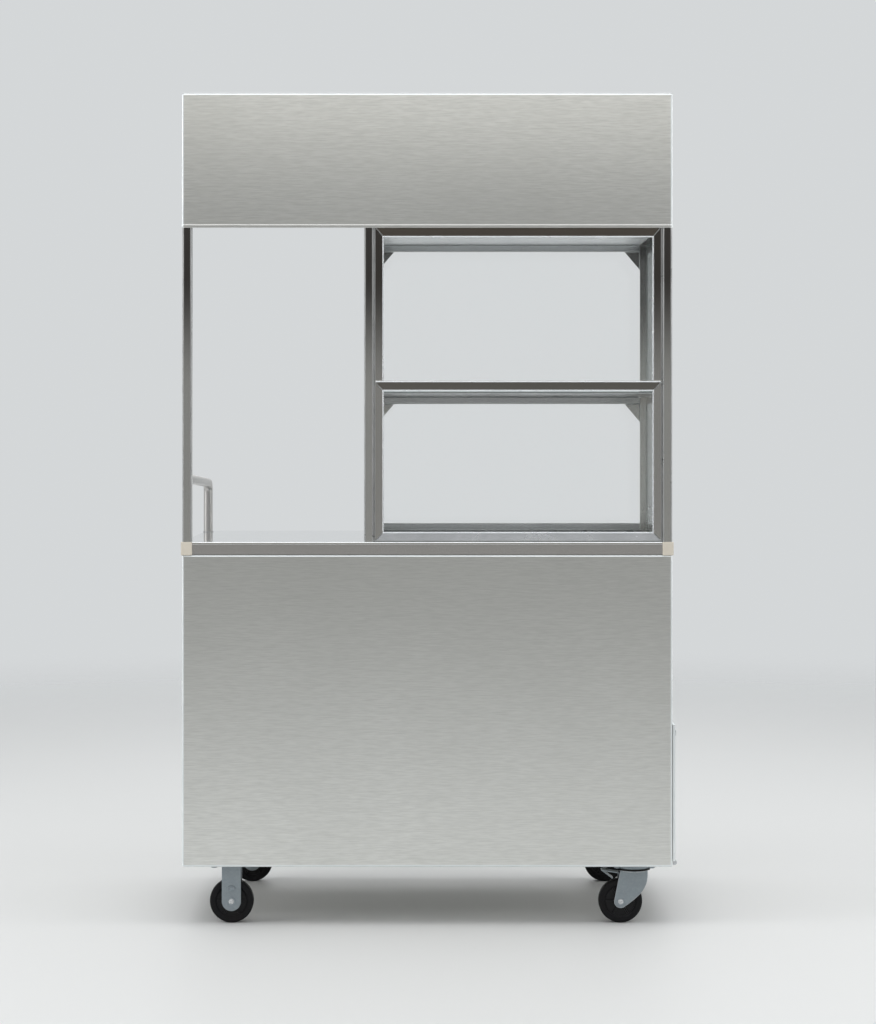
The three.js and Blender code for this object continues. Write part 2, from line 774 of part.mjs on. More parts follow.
function swivelFork(axisXPlace, y) {
  const x = axisXPlace - trail;
  const outline = new THREE.Shape();
  outline.moveTo(x + legRight, forkTop);
  outline.lineTo(x + legLeft, forkTop);
  outline.absarc(x, wheelRadius, legRound, Math.PI, Math.PI * 1.7);
  outline.lineTo(x + legWaist, wheelRadius + legWaistRise);
  outline.lineTo(x + legRight, wheelRadius + legShoulderRise);
  const crownZ = [forkTop - forkCrown, forkTop];
  const crown = block([x + legLeft, x + legRight], [y - forkHalf, y + forkHalf], crownZ);
  const disc = rod('Z', crownRadius, crownZ, [axisXPlace, y, 0], ringFacets);
  const brakePin = rod('Y', brakePinRadius, [-forkHalf, forkHalf],
    [x + brakePinForward, y, wheelRadius + brakePinRise]);
  return cut(
    join(crown, disc, ...legPair(outline, y), brakePin),
    hole('Z', boreFor(kingpinRadius, ringFacets), crownZ, [axisXPlace, y, 0], ringFacets),
    hole('Y', axleHole, [-forkHalf, forkHalf], [x, y, wheelRadius], boltFacets),
  );
}

// A straight strip between two points of the pedal's side view.
function strip([x0, z0], [x1, z1], wall, half, y) {
  const length = Math.hypot(x1 - x0, z1 - z0);
  const geometry = new THREE.BoxGeometry(length + wall, half * 2, wall);
  geometry.rotateY(-Math.atan2(z1 - z0, x1 - x0));
  return geometry.translate((x0 + x1) / 2, y, (z0 + z1) / 2);
}

const pedalWall = 2;
const pedalHalf = 13;
const pedalBoss = 5;
const pedalKnee = { back: 5, rise: 58 };
const pedalToe = { back: 38, rise: 63 };
const brakeShoe = { back: 17, rise: 47 };

function brakePedal(axisXPlace, y) {
  const x = axisXPlace - trail;
  const pin = [x + brakePinForward, wheelRadius + brakePinRise];
  const knee = [x - pedalKnee.back, wheelRadius + pedalKnee.rise];
  const toe = [x - pedalToe.back, wheelRadius + pedalToe.rise];
  const shoe = [x - brakeShoe.back, wheelRadius + brakeShoe.rise];
  const boss = rod('Y', pedalBoss, [-pedalHalf, pedalHalf], [pin[0], y, pin[1]]);
  const lever = join(
    boss,
    strip(pin, knee, pedalWall, pedalHalf, y),
    strip(knee, toe, pedalWall, pedalHalf, y),
    strip(toe, shoe, pedalWall, pedalHalf, y),
  );
  const pinHole = boreFor(brakePinRadius, pinFacets);
  return cut(lever, hole('Y', pinHole, [-pedalHalf, pedalHalf], [pin[0], y, pin[1]]));
}

for (const [place, x, y] of rigidCasters) {
  add(`rigid_fork_${place}`, rigidFork(x, y), 'zincSteel');
  add(`rigid_axle_${place}`, axle(x, y), 'zincSteel');
  add(`wheel_${place}_left`, wheel(x, y), 'blackRubber');
}

for (const [place, x, y] of swivelCasters) {
  add(`swivel_plate_${place}`, swivelPlate(x, y), 'zincSteel');
  add(`bearing_ring_${place}`, bearingRing(x, y), 'blackPlastic');
  add(`swivel_fork_${place}`, swivelFork(x, y), 'zincSteel');
  add(`swivel_axle_${place}`, axle(x - trail, y), 'zincSteel');
  add(`wheel_${place}_right`, wheel(x - trail, y), 'blackRubber');
  add(`brake_pedal_${place}`, brakePedal(x, y), 'zincSteel');
}

// Rear door hinges: a leaf and pin on each post, and a knuckle on the door that turns on the pin

const hingeWall = 1.5;
const hingeLeaf = 16;
const knuckleRadius = 4;
const hingePinRadius = 2;
const hingeHeight = 60;
const hingeInset = 90;
const knuckleGap = 0.4;
const doorKnuckles = 3;
const hingeAxisX = innerRight + seatGap * 2;
const hingeAxisY = back + knuckleRadius + seatGap * 2;
const doorGap = 1;
const doorBottom = baseTop + sheet + doorGap;
const doorTop = counterRailBottom - doorGap;
const hingeCentres = [doorBottom + hingeInset, doorTop - hingeInset];
const knuckleBore = boreFor(hingePinRadius, hingeFacets);

// The knuckle spans along a hinge are in turn fixed and moving.
function knuckleSpans([low, high], count, fixed) {
  const step = (high - low) / count;
  const spans = Array.from({ length: count }, (_, i) => [
    low + i * step + knuckleGap / 2,
    low + (i + 1) * step - knuckleGap / 2,
  ]);
  return spans.filter((_, i) => (i % 2 === 0) === fixed);
}

// One half of a rear hinge. The fixed half reaches outwards over the post and holds the pin.
function rearHingeHalf(side, centreZ, fixed) {
  const towards = fixed ? side : -side;
  const centre = [side * hingeAxisX, hingeAxisY, 0];
  const clear = towards * (knuckleRadius + seatGap * 2);
  const z = [centreZ - hingeHeight / 2, centreZ + hingeHeight / 2];
  const leafX = sorted(centre[0] + clear, centre[0] + clear + towards * hingeLeaf);
  const tabX = sorted(centre[0], centre[0] + clear + towards * hingeWall);
  const leafY = [back, back + hingeWall];
  const tabY = [back, back + hingeWall + seatGap];
  const knuckles = knuckleSpans(z, doorKnuckles, fixed).flatMap((span) => [
    rod('Z', knuckleRadius, span, centre, hingeFacets),
    block(tabX, tabY, span),
  ]);
  const half = join(block(leafX, leafY, z), ...knuckles);
  if (fixed) return join(half, rod('Z', hingePinRadius, z, centre, hingeFacets));
  return cut(half, hole('Z', knuckleBore, z, centre, hingeFacets));
}

function rearPost(side, z) {
  const x = side > 0 ? rightPostX : leftPostX;
  return join(post(x, rearPostY, z), ...hingeCentres.map((centre) => rearHingeHalf(side, centre, true)));
}

add('post_rear_right', rearPost(1, [baseTop, roofFrameBottom]), 'tubeSteel');
add('post_rear_left', rearPost(-1, [baseTop, counterUnderside]), 'tubeSteel');

// Rear doors: shallow pans hung between the posts, opening outwards

const doorDepth = 18;
const handleLength = 120;
const handleWidth = 12;
const handleWall = 5;
const handleReach = 25;
const handleBend = 9;
const handleSetIn = 45;
const doorHandleHeight = 520;
const handleFacets = 5;

function rearDoor(side) {
  const x = [side * doorGap, side * (innerRight - doorGap)].sort((a, b) => a - b);
  const y = [back - doorDepth, back];
  const z = [doorBottom, doorTop];
  const pan = cut(block(x, y, z), block(inset(x, sheet), [y[0], y[1] - sheet], inset(z, sheet)));
  return join(pan, ...hingeCentres.map((centre) => rearHingeHalf(side, centre, false)));
}

// A bow handle: a flat bar with both ends bent down to the panel, seen from the side.
function bowHandleOutline(base, centre) {
  const [low, high] = [centre - handleLength / 2, centre + handleLength / 2];
  const top = base + handleReach;
  const shape = new THREE.Shape();
  shape.moveTo(base, low);
  shape.lineTo(top - handleBend, low);
  shape.absarc(top - handleBend, low + handleBend, handleBend, -Math.PI / 2, 0);
  shape.lineTo(top, high - handleBend);
  shape.absarc(top - handleBend, high - handleBend, handleBend, 0, Math.PI / 2);
  shape.lineTo(base, high);
  shape.lineTo(base, high - handleWall);
  shape.lineTo(top - handleWall, high - handleWall);
  shape.lineTo(top - handleWall, low + handleWall);
  shape.lineTo(base, low + handleWall);
  return shape;
}

function doorHandle(side) {
  const centreX = side * handleSetIn;
  const span = [centreX - handleWidth / 2, centreX + handleWidth / 2];
  return prism('X', bowHandleOutline(back, doorHandleHeight), span, handleFacets);
}

for (const [name, side] of [['left', -1], ['right', 1]]) {
  add(`rear_door_${name}`, rearDoor(side), 'brushedSteel');
  add(`rear_door_${name}_handle`, doorHandle(side), 'polishedSteel');
}

// Side hatch: a shallow leaf over the opening in the right panel, hinged along its bottom edge

const hatchTop = 411;
const hatchThickness = 5;
const hatchKnuckle = 4.5;
const hatchKnuckles = 5;
const hatchHingeEnd = 20;
const hatchBottom = 133;
const hingeLeafHeight = 28;
const hingeLeafWall = 1.2;
const hatchHandleDrop = 45;
const panelFace = right + sheet;
const hatchInner = panelFace + seatGap;
const hatchOuter = panelFace + hatchThickness;
const hatchAxis = [hatchOuter + sheet, 0, baseHeight + hatchKnuckle];
const hatchY = [front, back];
const hatchHingeY = inset(hatchY, hatchHingeEnd);

function hatchKnuckleRods(fixed) {
  return knuckleSpans(hatchHingeY, hatchKnuckles, fixed)
    .map((span) => rod('Y', hatchKnuckle, span, hatchAxis, hingeFacets));
}

function sideHatch() {
  const z = [hatchBottom, hatchTop];
  const fold = [hatchInner, hatchOuter];
  const tabX = [hatchOuter - sheet * 2, hatchOuter];
  const tabs = knuckleSpans(hatchHingeY, hatchKnuckles, false)
    .map((span) => block(tabX, span, [hatchAxis[2], hatchBottom + sheet]));
  const leaf = join(
    block([hatchOuter - sheet, hatchOuter], hatchY, z),
    block(fold, hatchY, [hatchTop - sheet, hatchTop]),
    block(fold, [hatchY[0], hatchY[0] + sheet], z),
    block(fold, [hatchY[1] - sheet, hatchY[1]], z),
    ...tabs,
    ...hatchKnuckleRods(false),
  );
  return cut(leaf, hole('Y', knuckleBore, hatchY, hatchAxis, hingeFacets));
}

function hatchHinge() {
  const leafX = [panelFace, panelFace + hingeLeafWall];
  const tabs = knuckleSpans(hatchHingeY, hatchKnuckles, true)
    .map((span) => block([panelFace, hatchAxis[0]], span, [baseHeight, baseHeight + sheet * 2]));
  return join(
    block(leafX, hatchHingeY, [baseHeight, baseHeight + hingeLeafHeight]),
    ...tabs,
    ...hatchKnuckleRods(true),
    rod('Y', hingePinRadius, hatchHingeY, hatchAxis, hingeFacets),
  );
}

function hatchHandle() {
  const centreZ = hatchTop - hatchHandleDrop;
  const span = [centreZ - handleWidth / 2, centreZ + handleWidth / 2];
  return prism('Z', bowHandleOutline(hatchOuter, 0), span, handleFacets);
}

add('side_hatch_hinge', hatchHinge(), 'zincSteel');
add('side_hatch', sideHatch(), 'brushedSteel');
add('side_hatch_handle', hatchHandle(), 'polishedSteel');

// Magnetic catch under the rear counter rail, across the edge where the two doors meet

const catchWidth = 60;
const catchDepth = 17;
const catchHeight = 14;
const catchPlate = 0.6;

function doorCatch() {
  const x = [-catchWidth / 2, catchWidth / 2];
  const doorFront = back - doorDepth - seatGap;
  const y = [doorFront - catchDepth, doorFront];
  return join(
    block(x, y, [counterRailBottom - catchHeight, counterRailBottom]),
    block(x, [y[0], back], [counterRailBottom - catchPlate, counterRailBottom]),
  );
}

add('door_catch', doorCatch(), 'blackPlastic');

// The origin is on the floor under the middle of everything, handles and hinges included
const reach = {
  left: left - capWall,
  right: hatchOuter + handleReach,
  front: front - capWall,
  back: back + handleReach,
};
cart.position.set(-(reach.left + reach.right) / 2, -(reach.front + reach.back) / 2, 0);

export default cart;
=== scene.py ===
import json
import math

import bmesh
import bpy
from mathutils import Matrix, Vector

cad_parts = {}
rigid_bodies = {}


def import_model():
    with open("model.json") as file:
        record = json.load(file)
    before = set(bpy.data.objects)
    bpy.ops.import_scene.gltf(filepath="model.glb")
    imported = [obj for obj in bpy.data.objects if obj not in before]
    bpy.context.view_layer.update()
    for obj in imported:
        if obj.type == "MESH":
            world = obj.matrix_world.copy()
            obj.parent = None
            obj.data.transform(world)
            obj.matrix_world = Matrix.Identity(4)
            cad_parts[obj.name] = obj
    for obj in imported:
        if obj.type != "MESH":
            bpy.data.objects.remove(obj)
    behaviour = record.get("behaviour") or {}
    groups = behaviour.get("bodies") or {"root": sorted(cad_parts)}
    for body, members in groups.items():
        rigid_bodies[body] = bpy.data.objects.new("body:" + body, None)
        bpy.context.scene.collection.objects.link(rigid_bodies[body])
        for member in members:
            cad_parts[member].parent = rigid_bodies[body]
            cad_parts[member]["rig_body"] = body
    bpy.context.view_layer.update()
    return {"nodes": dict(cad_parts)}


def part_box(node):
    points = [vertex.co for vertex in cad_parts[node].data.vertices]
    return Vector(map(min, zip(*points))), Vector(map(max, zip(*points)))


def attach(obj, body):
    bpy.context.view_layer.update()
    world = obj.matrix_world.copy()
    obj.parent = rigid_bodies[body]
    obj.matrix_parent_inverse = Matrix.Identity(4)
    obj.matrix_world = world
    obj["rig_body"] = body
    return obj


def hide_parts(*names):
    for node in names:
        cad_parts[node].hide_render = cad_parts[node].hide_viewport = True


# street food cart in stainless steel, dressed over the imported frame
# pieces are drawn in millimetres from the middle of the base frame, X right, Y back, Z up

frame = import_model()
nodes = frame["nodes"]
baseLow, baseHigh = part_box("base_frame")
middle = Vector(((baseLow.x + baseHigh.x) / 2, (baseLow.y + baseHigh.y) / 2, 0))
mm = 0.001

cart = {
    "halfWidth": 500,
    "halfDepth": 300,
    "sheet": 1,
    "counter": 784,
    "boardBottom": 1425,
    "roof": 1700,
    "case": (-109, 480),
    "caseTop": 1430,
    "caseBack": 280,
    "shelf": 1086.5,
}
# lower faces of the two rear rails that have gussets
rearRails = (1414, 1070.5)
print("stage: frame loaded,", len(nodes), "nodes")

# materials: small helpers first, then one function for each finish


def newMaterial(name):
    material = bpy.data.materials.new(name)
    material.use_nodes = True
    tree = material.node_tree
    tree.nodes.clear()
    output = tree.nodes.new("ShaderNodeOutputMaterial")
    shader = tree.nodes.new("ShaderNodeBsdfPrincipled")
    output.location = (600, 0)
    shader.location = (300, 0)
    tree.links.new(shader.outputs["BSDF"], output.inputs["Surface"])
    return material, tree, shader


def stretchedNoise(tree, stretch, detail, rough, distortion=0.0):
    where = tree.nodes.new("ShaderNodeTexCoord")
    mapping = tree.nodes.new("ShaderNodeMapping")
    mapping.inputs["Scale"].default_value = stretch
    noise = tree.nodes.new("ShaderNodeTexNoise")
    noise.inputs["Scale"].default_value = 1.0
    noise.inputs["Detail"].default_value = detail
    noise.inputs["Roughness"].default_value = rough
    noise.inputs["Distortion"].default_value = distortion
    tree.links.new(where.outputs["Object"], mapping.inputs["Vector"])
    tree.links.new(mapping.outputs["Vector"], noise.inputs["Vector"])
    return noise.outputs["Fac"]


def remap(tree, value, low, high, fromLow=0.3, fromHigh=0.7, smooth=False):
    node = tree.nodes.new("ShaderNodeMapRange")
    if smooth:
        node.interpolation_type = "SMOOTHSTEP"
    node.inputs["From Min"].default_value = fromLow
    node.inputs["From Max"].default_value = fromHigh
    node.inputs["To Min"].default_value = low
    node.inputs["To Max"].default_value = high
    tree.links.new(value, node.inputs["Value"])
    return node.outputs["Result"]


def blendColours(tree, amount, first, second, blend="MIX"):
    node = tree.nodes.new("ShaderNodeMix")
    node.data_type = "RGBA"
    node.blend_type = blend
    if isinstance(amount, bpy.types.NodeSocket):
        tree.links.new(amount, node.inputs["Factor"])
    else:
        node.inputs["Factor"].default_value = amount
    for socket, colour in (("A", first), ("B", second)):
        target = [s for s in node.inputs if s.name == socket and s.type == "RGBA"][0]
        if isinstance(colour, bpy.types.NodeSocket):
            tree.links.new(colour, target)
        else:
            target.default_value = (*colour, 1)
    return [s for s in node.outputs if s.type == "RGBA"][0]


def addBump(tree, shader, height, strength, distance):
    bump = tree.nodes.new("ShaderNodeBump")
    bump.inputs["Strength"].default_value = strength
    bump.inputs["Distance"].default_value = distance
    tree.links.new(height, bump.inputs["Height"])
    tree.links.new(bump.outputs["Normal"], shader.inputs["Normal"])


def addValues(tree, first, second):
    node = tree.nodes.new("ShaderNodeMath")
    node.operation = "ADD"
    tree.links.new(first, node.inputs[0])
    tree.links.new(second, node.inputs[1])
    return node.outputs["Value"]


# how high a point lies between two heights in millimetres, from 0 to 1; it places the painted shade
# and reflection on brushed steel
def heightShare(tree, low, high):
    where = tree.nodes.new("ShaderNodeTexCoord")
    split = tree.nodes.new("ShaderNodeSeparateXYZ")
    tree.links.new(where.outputs["Object"], split.inputs["Vector"])
    return remap(tree, split.outputs["Z"], 0, 1, low * mm, high * mm, True)


# noise that several finishes share, as stretch, detail, roughness and distortion
patterns = {
    "clouds": ((3.1, 2.7, 2.3), 2.0, 0.5),
    "smears": ((9, 11, 13), 4.0, 0.6, 0.8),
    "hair": ((5, 700, 700), 2.0, 0.6),
    "stain": ((34, 34, 34), 4.0, 0.6),
    "dust": ((21, 21, 27), 4.0, 0.65),
    "film": ((6, 6, 8), 4.0, 0.6, 1.2),
}
# the same without a stretch, which each finish gives itself
scratchNoise = (2.0, 0.6)
streakNoise = (2.0, 0.5, 0.03)
skinNoise = (3.0, 0.6)
# how deep a full bump is, in metres
bumpDepth = {"grain": 0.0003, "hair": 0.0002}


# brushed steel: fine scratches and short streaks along one axis, over slow clouds left by hands
# scratches and streaks each make half of the grain
def brushedSteel(name, look):
    material, tree, shader = newMaterial(name)
    along = look["grain"]
    fine = [look["fine"]] * 3
    broad = [look["broad"]] * 3
    fine[along] = look["fineLength"]
    broad[along] = look["broadLength"]
    scratches = stretchedNoise(tree, fine, *scratchNoise)
    streaks = stretchedNoise(tree, broad, *streakNoise)
    clouds = stretchedNoise(tree, *patterns["clouds"])
    grain = addValues(tree, remap(tree, scratches, 0, 0.5), remap(tree, streaks, 0, 0.5))
    colour = blendColours(tree, grain, look["dark"], look["light"])
    cloudy = blendColours(tree, remap(tree, clouds, 0, look["clouds"]), colour, look["dark"])
    # painted shade and reflection: the colour is multiplied by a factor that changes with height
    # between two given heights, lighter or darker as light falls on the cart
    low, high = look["heights"]
    heightShade = blendColours(tree, heightShare(tree, low, high), look["paintedShadeLow"], look["paintedShadeHigh"])
    shadedColour = blendColours(tree, 1.0, cloudy, heightShade, "MULTIPLY")
    tree.links.new(shadedColour, shader.inputs["Base Color"])
    smooth, dull = look["roughness"]
    tree.links.new(remap(tree, grain, dull, smooth, 0, 1), shader.inputs["Roughness"])
    shader.inputs["Metallic"].default_value = 1
    shader.inputs["Anisotropic"].default_value = look["anisotropic"]
    addBump(tree, shader, grain, look["bump"], bumpDepth["grain"])
    return material


# polished steel: clear reflections with smears and a few hair scratches
# a copy with a lower metallic share stays lighter against a dark room; the edge, bead and ceiling
# copies use it to paint highlight and light
def polishedSteel(name, look):
    material, tree, shader = newMaterial(name)
    smears = stretchedNoise(tree, *patterns["smears"])
    hair = stretchedNoise(tree, *patterns["hair"])
    colour = blendColours(tree, remap(tree, smears, 0, 1), look["dark"], look["light"])
    tree.links.new(colour, shader.inputs["Base Color"])
    low, high = look["roughness"]
    tree.links.new(remap(tree, smears, low, high), shader.inputs["Roughness"])
    shader.inputs["Metallic"].default_value = look.get("metallic", 1)
    addBump(tree, shader, hair, look["bump"], bumpDepth["hair"])
    return material


# zinc plating: faint crystals, a little dull, darker where it was handled
def zincPlate(name, look):
    material, tree, shader = newMaterial(name)
    where = tree.nodes.new("ShaderNodeTexCoord")
    crystals = tree.nodes.new("ShaderNodeTexVoronoi")
    crystals.inputs["Scale"].default_value = look["crystals"]
    tree.links.new(where.outputs["Object"], crystals.inputs["Vector"])
    split = tree.nodes.new("ShaderNodeSeparateColor")
    tree.links.new(crystals.outputs["Color"], split.inputs["Color"])
    stain = stretchedNoise(tree, *patterns["stain"])
    colour = blendColours(tree, split.outputs["Red"], look["dark"], look["light"])
    handled = remap(tree, stain, 0, look["stainShare"], *look["stainRange"])
    stained = blendColours(tree, handled, colour, look["stain"])
    tree.links.new(stained, shader.inputs["Base Color"])
    low, high = look["roughness"]
    tree.links.new(remap(tree, stain, low, high), shader.inputs["Roughness"])
    shader.inputs["Metallic"].default_value = look["metallic"]
    addBump(tree, shader, stain, look["bump"], bumpDepth["grain"])
    return material


# moulded plastic and rubber: a fine pebbled skin with dust in the low places
def moulded(name, look):
    material, tree, shader = newMaterial(name)
    skin = stretchedNoise(tree, [look["pebble"]] * 3, *skinNoise)
    dust = stretchedNoise(tree, *patterns["dust"])
    amount = remap(tree, dust, 0, look["dust"], *look["dustRange"])
    colour = blendColours(tree, amount, look["colour"], look["dustColour"])
    tree.links.new(colour, shader.inputs["Base Color"])
    low, high = look["roughness"]
    tree.links.new(remap(tree, dust, low, high), shader.inputs["Roughness"])
    shader.inputs["Specular IOR Level"].default_value = look["specular"]
    addBump(tree, shader, skin, look["bump"], bumpDepth["grain"])
    return material


# clear pane: mostly see-through, so that light reaches what is behind it
# it mirrors more the more it is seen from the side; headOn, the share straight on, is left out
def clearGlass(name, look):
    material, tree, shader = newMaterial(name)
    film = stretchedNoise(tree, *patterns["film"])
    smooth, dull = look["roughness"]
    tree.links.new(remap(tree, film, smooth, dull), shader.inputs["Roughness"])
    glance = tree.nodes.new("ShaderNodeFresnel")
    glance.inputs["IOR"].default_value = glass["ior"]
    mirrored = remap(tree, glance.outputs["Fac"], 0, glass["grazing"], glass["headOn"], 1)
    veil = addValues(tree, remap(tree, film, *look["alpha"]), mirrored)
    tree.links.new(veil, shader.inputs["Alpha"])
    colour = blendColours(tree, remap(tree, film, 0, 1), look["colour"], look["film"])
    tree.links.new(colour, shader.inputs["Base Color"])
    shader.inputs["Transmission Weight"].default_value = glass["transmission"]
    shader.inputs["IOR"].default_value = glass["ior"]
    return material


glass = {"ior": 1.5, "headOn": 0.04, "grazing": 0.8, "transmission": 0.6}
# painted reflection and shade: the cabinet sheets are darker towards the top and lighter towards
# the bottom
sheetLook = {
    "grain": 0,
    "fine": 2400,
    "fineLength": 30,
    "broad": 380,
    "broadLength": 38,
    "dark": (0.675, 0.68, 0.65),
    "light": (0.87, 0.875, 0.845),
    "clouds": 0.3,
    "heights": (180, 757),
    "paintedShadeLow": (1.04, 1.04, 1.04),
    "paintedShadeHigh": (0.88, 0.88, 0.87),
    "roughness": (0.32, 0.40),
    "anisotropic": 0.3,
    "bump": 0.04,
}
# painted reflection: the board is darker towards its lower edge and lighter towards the roof
boardSheet = brushedSteel("brushed sheet, board", {
    **sheetLook,
    "dark": (0.62, 0.625, 0.595),
    "light": (0.93, 0.935, 0.905),
    "bump": 0.05,
    "heights": (1425, 1700),
    "paintedShadeLow": (0.88, 0.88, 0.87),
    "paintedShadeHigh": (1.16, 1.15, 1.12),
})
brushedSheet = brushedSteel("brushed sheet", sheetLook)
sideSheet = brushedSteel("brushed sheet, side", {**sheetLook, "grain": 1})
levelSheet = brushedSteel("brushed sheet, level", {**sheetLook, "anisotropic": 0})
# a lighter, less metallic copy of the steel: painted highlight along folds and edges
foldHighlight = polishedSteel("folded edge, painted highlight", {
    "dark": (0.84, 0.88, 0.89),
    "light": (0.92, 0.95, 0.95),
    "roughness": (0.32, 0.42),
    "metallic": 0.6,
    "bump": 0.02,
})
# a darker copy of the steel: painted shade on the curled strips of the hem
hemShade = polishedSteel("hem edge, painted shade", {
    "dark": (0.52, 0.52, 0.50),
    "light": (0.60, 0.60, 0.58),
    "roughness": (0.34, 0.46),
    "metallic": 0.8,
    "bump": 0.02,
})
# painted shade: tubes are made much darker towards the top, where the hood shades them
tubeLook = {
    "grain": 2,
    "fine": 1100,
    "fineLength": 40,
    "broad": 260,
    "broadLength": 14,
    "dark": (0.66, 0.66, 0.63),
    "light": (0.78, 0.78, 0.745),
    "clouds": 0.4,
    "heights": (1080, 1330),
    "paintedShadeLow": (1.0, 1.0, 0.99),
    "paintedShadeHigh": (0.17, 0.16, 0.155),
    "roughness": (0.16, 0.26),
    "anisotropic": 0.3,
    "bump": 0.03,
}
uprightTube = brushedSteel("satin tube, upright", tubeLook)
crossTube = brushedSteel("satin tube, across", {
    **tubeLook,
    "grain": 0,
    "dark": (0.65, 0.635, 0.61),
    "light": (0.77, 0.755, 0.72),
})
rearRail = brushedSteel("satin tube, rear rails", {
    **tubeLook,
    "grain": 0,
    "dark": (0.56, 0.57, 0.57),
    "light": (0.66, 0.67, 0.67),
    "paintedShadeHigh": (0.80, 0.82, 0.83),
})
# a lighter copy of the tube steel, not darkened at the top: painted light on the rear post
rearPostLit = brushedSteel("satin tube, rear post, painted light", {
    **tubeLook,
    "dark": (0.92, 0.91, 0.89),
    "light": (0.98, 0.97, 0.95),
    "paintedShadeHigh": (1.0, 1.0, 1.0),
})
railTube = brushedSteel("hand rail tube", {
    **tubeLook,
    "dark": (0.52, 0.51, 0.50),
    "light": (0.58, 0.57, 0.56),
    "paintedShadeHigh": (0.9, 0.9, 0.9),
    "roughness": (0.36, 0.44),
    "anisotropic": 0,
    "bump": 0.006,
})
# painted shade: the case angles are made much darker towards the top, like the tubes
angleLook = {
    **tubeLook,
    "dark": (0.58, 0.57, 0.54),
    "light": (0.70, 0.69, 0.66),
    "paintedShadeHigh": (0.19, 0.175, 0.165),
}
uprightAngle = brushedSteel("angle, upright, painted shade", angleLook)
# painted shade: the cross members are darker overall, and more so towards the top
crossAngle = brushedSteel("angle, across, painted shade", {
    **angleLook,
    "grain": 0,
    "heights": (784, 1430),
    "paintedShadeLow": (0.66, 0.66, 0.64),
    "paintedShadeHigh": (0.32, 0.285, 0.25),
})
deepAngle = brushedSteel("angle, front to back, painted shade", {**angleLook, "grain": 1})
# on rounded tube corners and mitre chamfers this paints a highlight; it is also the finish of the
# welds
tubeEdge = polishedSteel("tube corner", {
    "dark": (0.36, 0.365, 0.36),
    "light": (0.46, 0.465, 0.46),
    "roughness": (0.26, 0.38),
    "metallic": 0.6,
    "bump": 0.02,
})
# a lighter copy for the rear post's rounded corners: painted highlight
postCornerHighlight = polishedSteel("rear post corner, painted highlight", {
    "dark": (0.62, 0.63, 0.63),
    "light": (0.74, 0.75, 0.75),
    "roughness": (0.26, 0.38),
    "metallic": 0.5,
    "bump": 0.02,
})
# a whitish, barely metallic copy for the case ceiling: painted light under the hood
ceilingLit = polishedSteel("pale plate, painted light", {
    "dark": (0.78, 0.80, 0.81),
    "light": (0.86, 0.88, 0.89),
    "roughness": (0.28, 0.36),
    "metallic": 0.3,
    "bump": 0.02,
})
# a lighter, less metallic copy for the window beads: painted highlight on them
beadHighlight = polishedSteel("bead, painted highlight", {
    "dark": (0.70, 0.72, 0.74),
    "light": (0.80, 0.82, 0.84),
    "roughness": (0.20, 0.30),
    "metallic": 0.75,
    "bump": 0.02,
})
mirrorSteel = polishedSteel("mirror steel", {
    "dark": (0.64, 0.66, 0.67),
    "light": (0.74, 0.75, 0.76),
    "roughness": (0.05, 0.12),
    "bump": 0.02,
})
zincLook = {
    "crystals": 260,
    "dark": (0.29, 0.33, 0.355),
    "light": (0.315, 0.355, 0.38),
    "stain": (0.26, 0.285, 0.30),
    "stainShare": 0.5,
    "stainRange": (0.5, 0.75),
    "roughness": (0.36, 0.46),
    "metallic": 0.85,
    "bump": 0.08,
}
zinc = zincPlate("zinc plate", zincLook)
brightZinc = zincPlate("zinc fasteners", {
    **zincLook,
    "dark": (0.60, 0.62, 0.63),
    "light": (0.70, 0.72, 0.73),
    "stain": (0.48, 0.48, 0.46),
    "roughness": (0.20, 0.30),
    "metallic": 0.5,
})
# a lighter, less metallic copy of the zinc: painted highlight on the rounded edges of forks and
# pedals
zincEdgeHighlight = zincPlate("zinc plate edge, painted highlight", {
    **zincLook,
    "dark": (0.44, 0.47, 0.49),
    "light": (0.50, 0.53, 0.55),
    "metallic": 0.5,
})
creamPlastic = moulded("cream plastic", {
    "colour": (0.74, 0.68, 0.58),
    "dustColour": (0.62, 0.57, 0.48),
    "dust": 0.3,
    "dustRange": (0.45, 0.75),
    "roughness": (0.38, 0.52),
    "specular": 0.5,
    "pebble": 900,
    "bump": 0.10,
})
wheelRubber = moulded("wheel rubber", {
    "colour": (0.004, 0.004, 0.005),
    "dustColour": (0.020, 0.017, 0.015),
    "dust": 0.35,
    "dustRange": (0.45, 0.75),
    "roughness": (0.45, 0.70),
    "specular": 0.22,
    "pebble": 700,
    "bump": 0.22,
})
blackPlastic = moulded("black plastic", {
    "colour": (0.005, 0.005, 0.006),
    "dustColour": (0.020, 0.018, 0.016),
    "dust": 0.3,
    "dustRange": (0.45, 0.75),
    "roughness": (0.30, 0.48),
    "specular": 0.25,
    "pebble": 1100,
    "bump": 0.08,
})
paneGlass = clearGlass("pane glass", {
    "colour": (0.86, 0.95, 0.93),
    "film": (0.98, 1.0, 1.0),
    "roughness": (0.01, 0.03),
    "alpha": (0.045, 0.055),
})
paneEdge = clearGlass("pane edge", {
    "colour": (0.30, 0.55, 0.47),
    "film": (0.42, 0.66, 0.58),
    "roughness": (0.15, 0.30),
    "alpha": (0.60, 0.80),
})
print("stage: materials made")

# mesh helpers


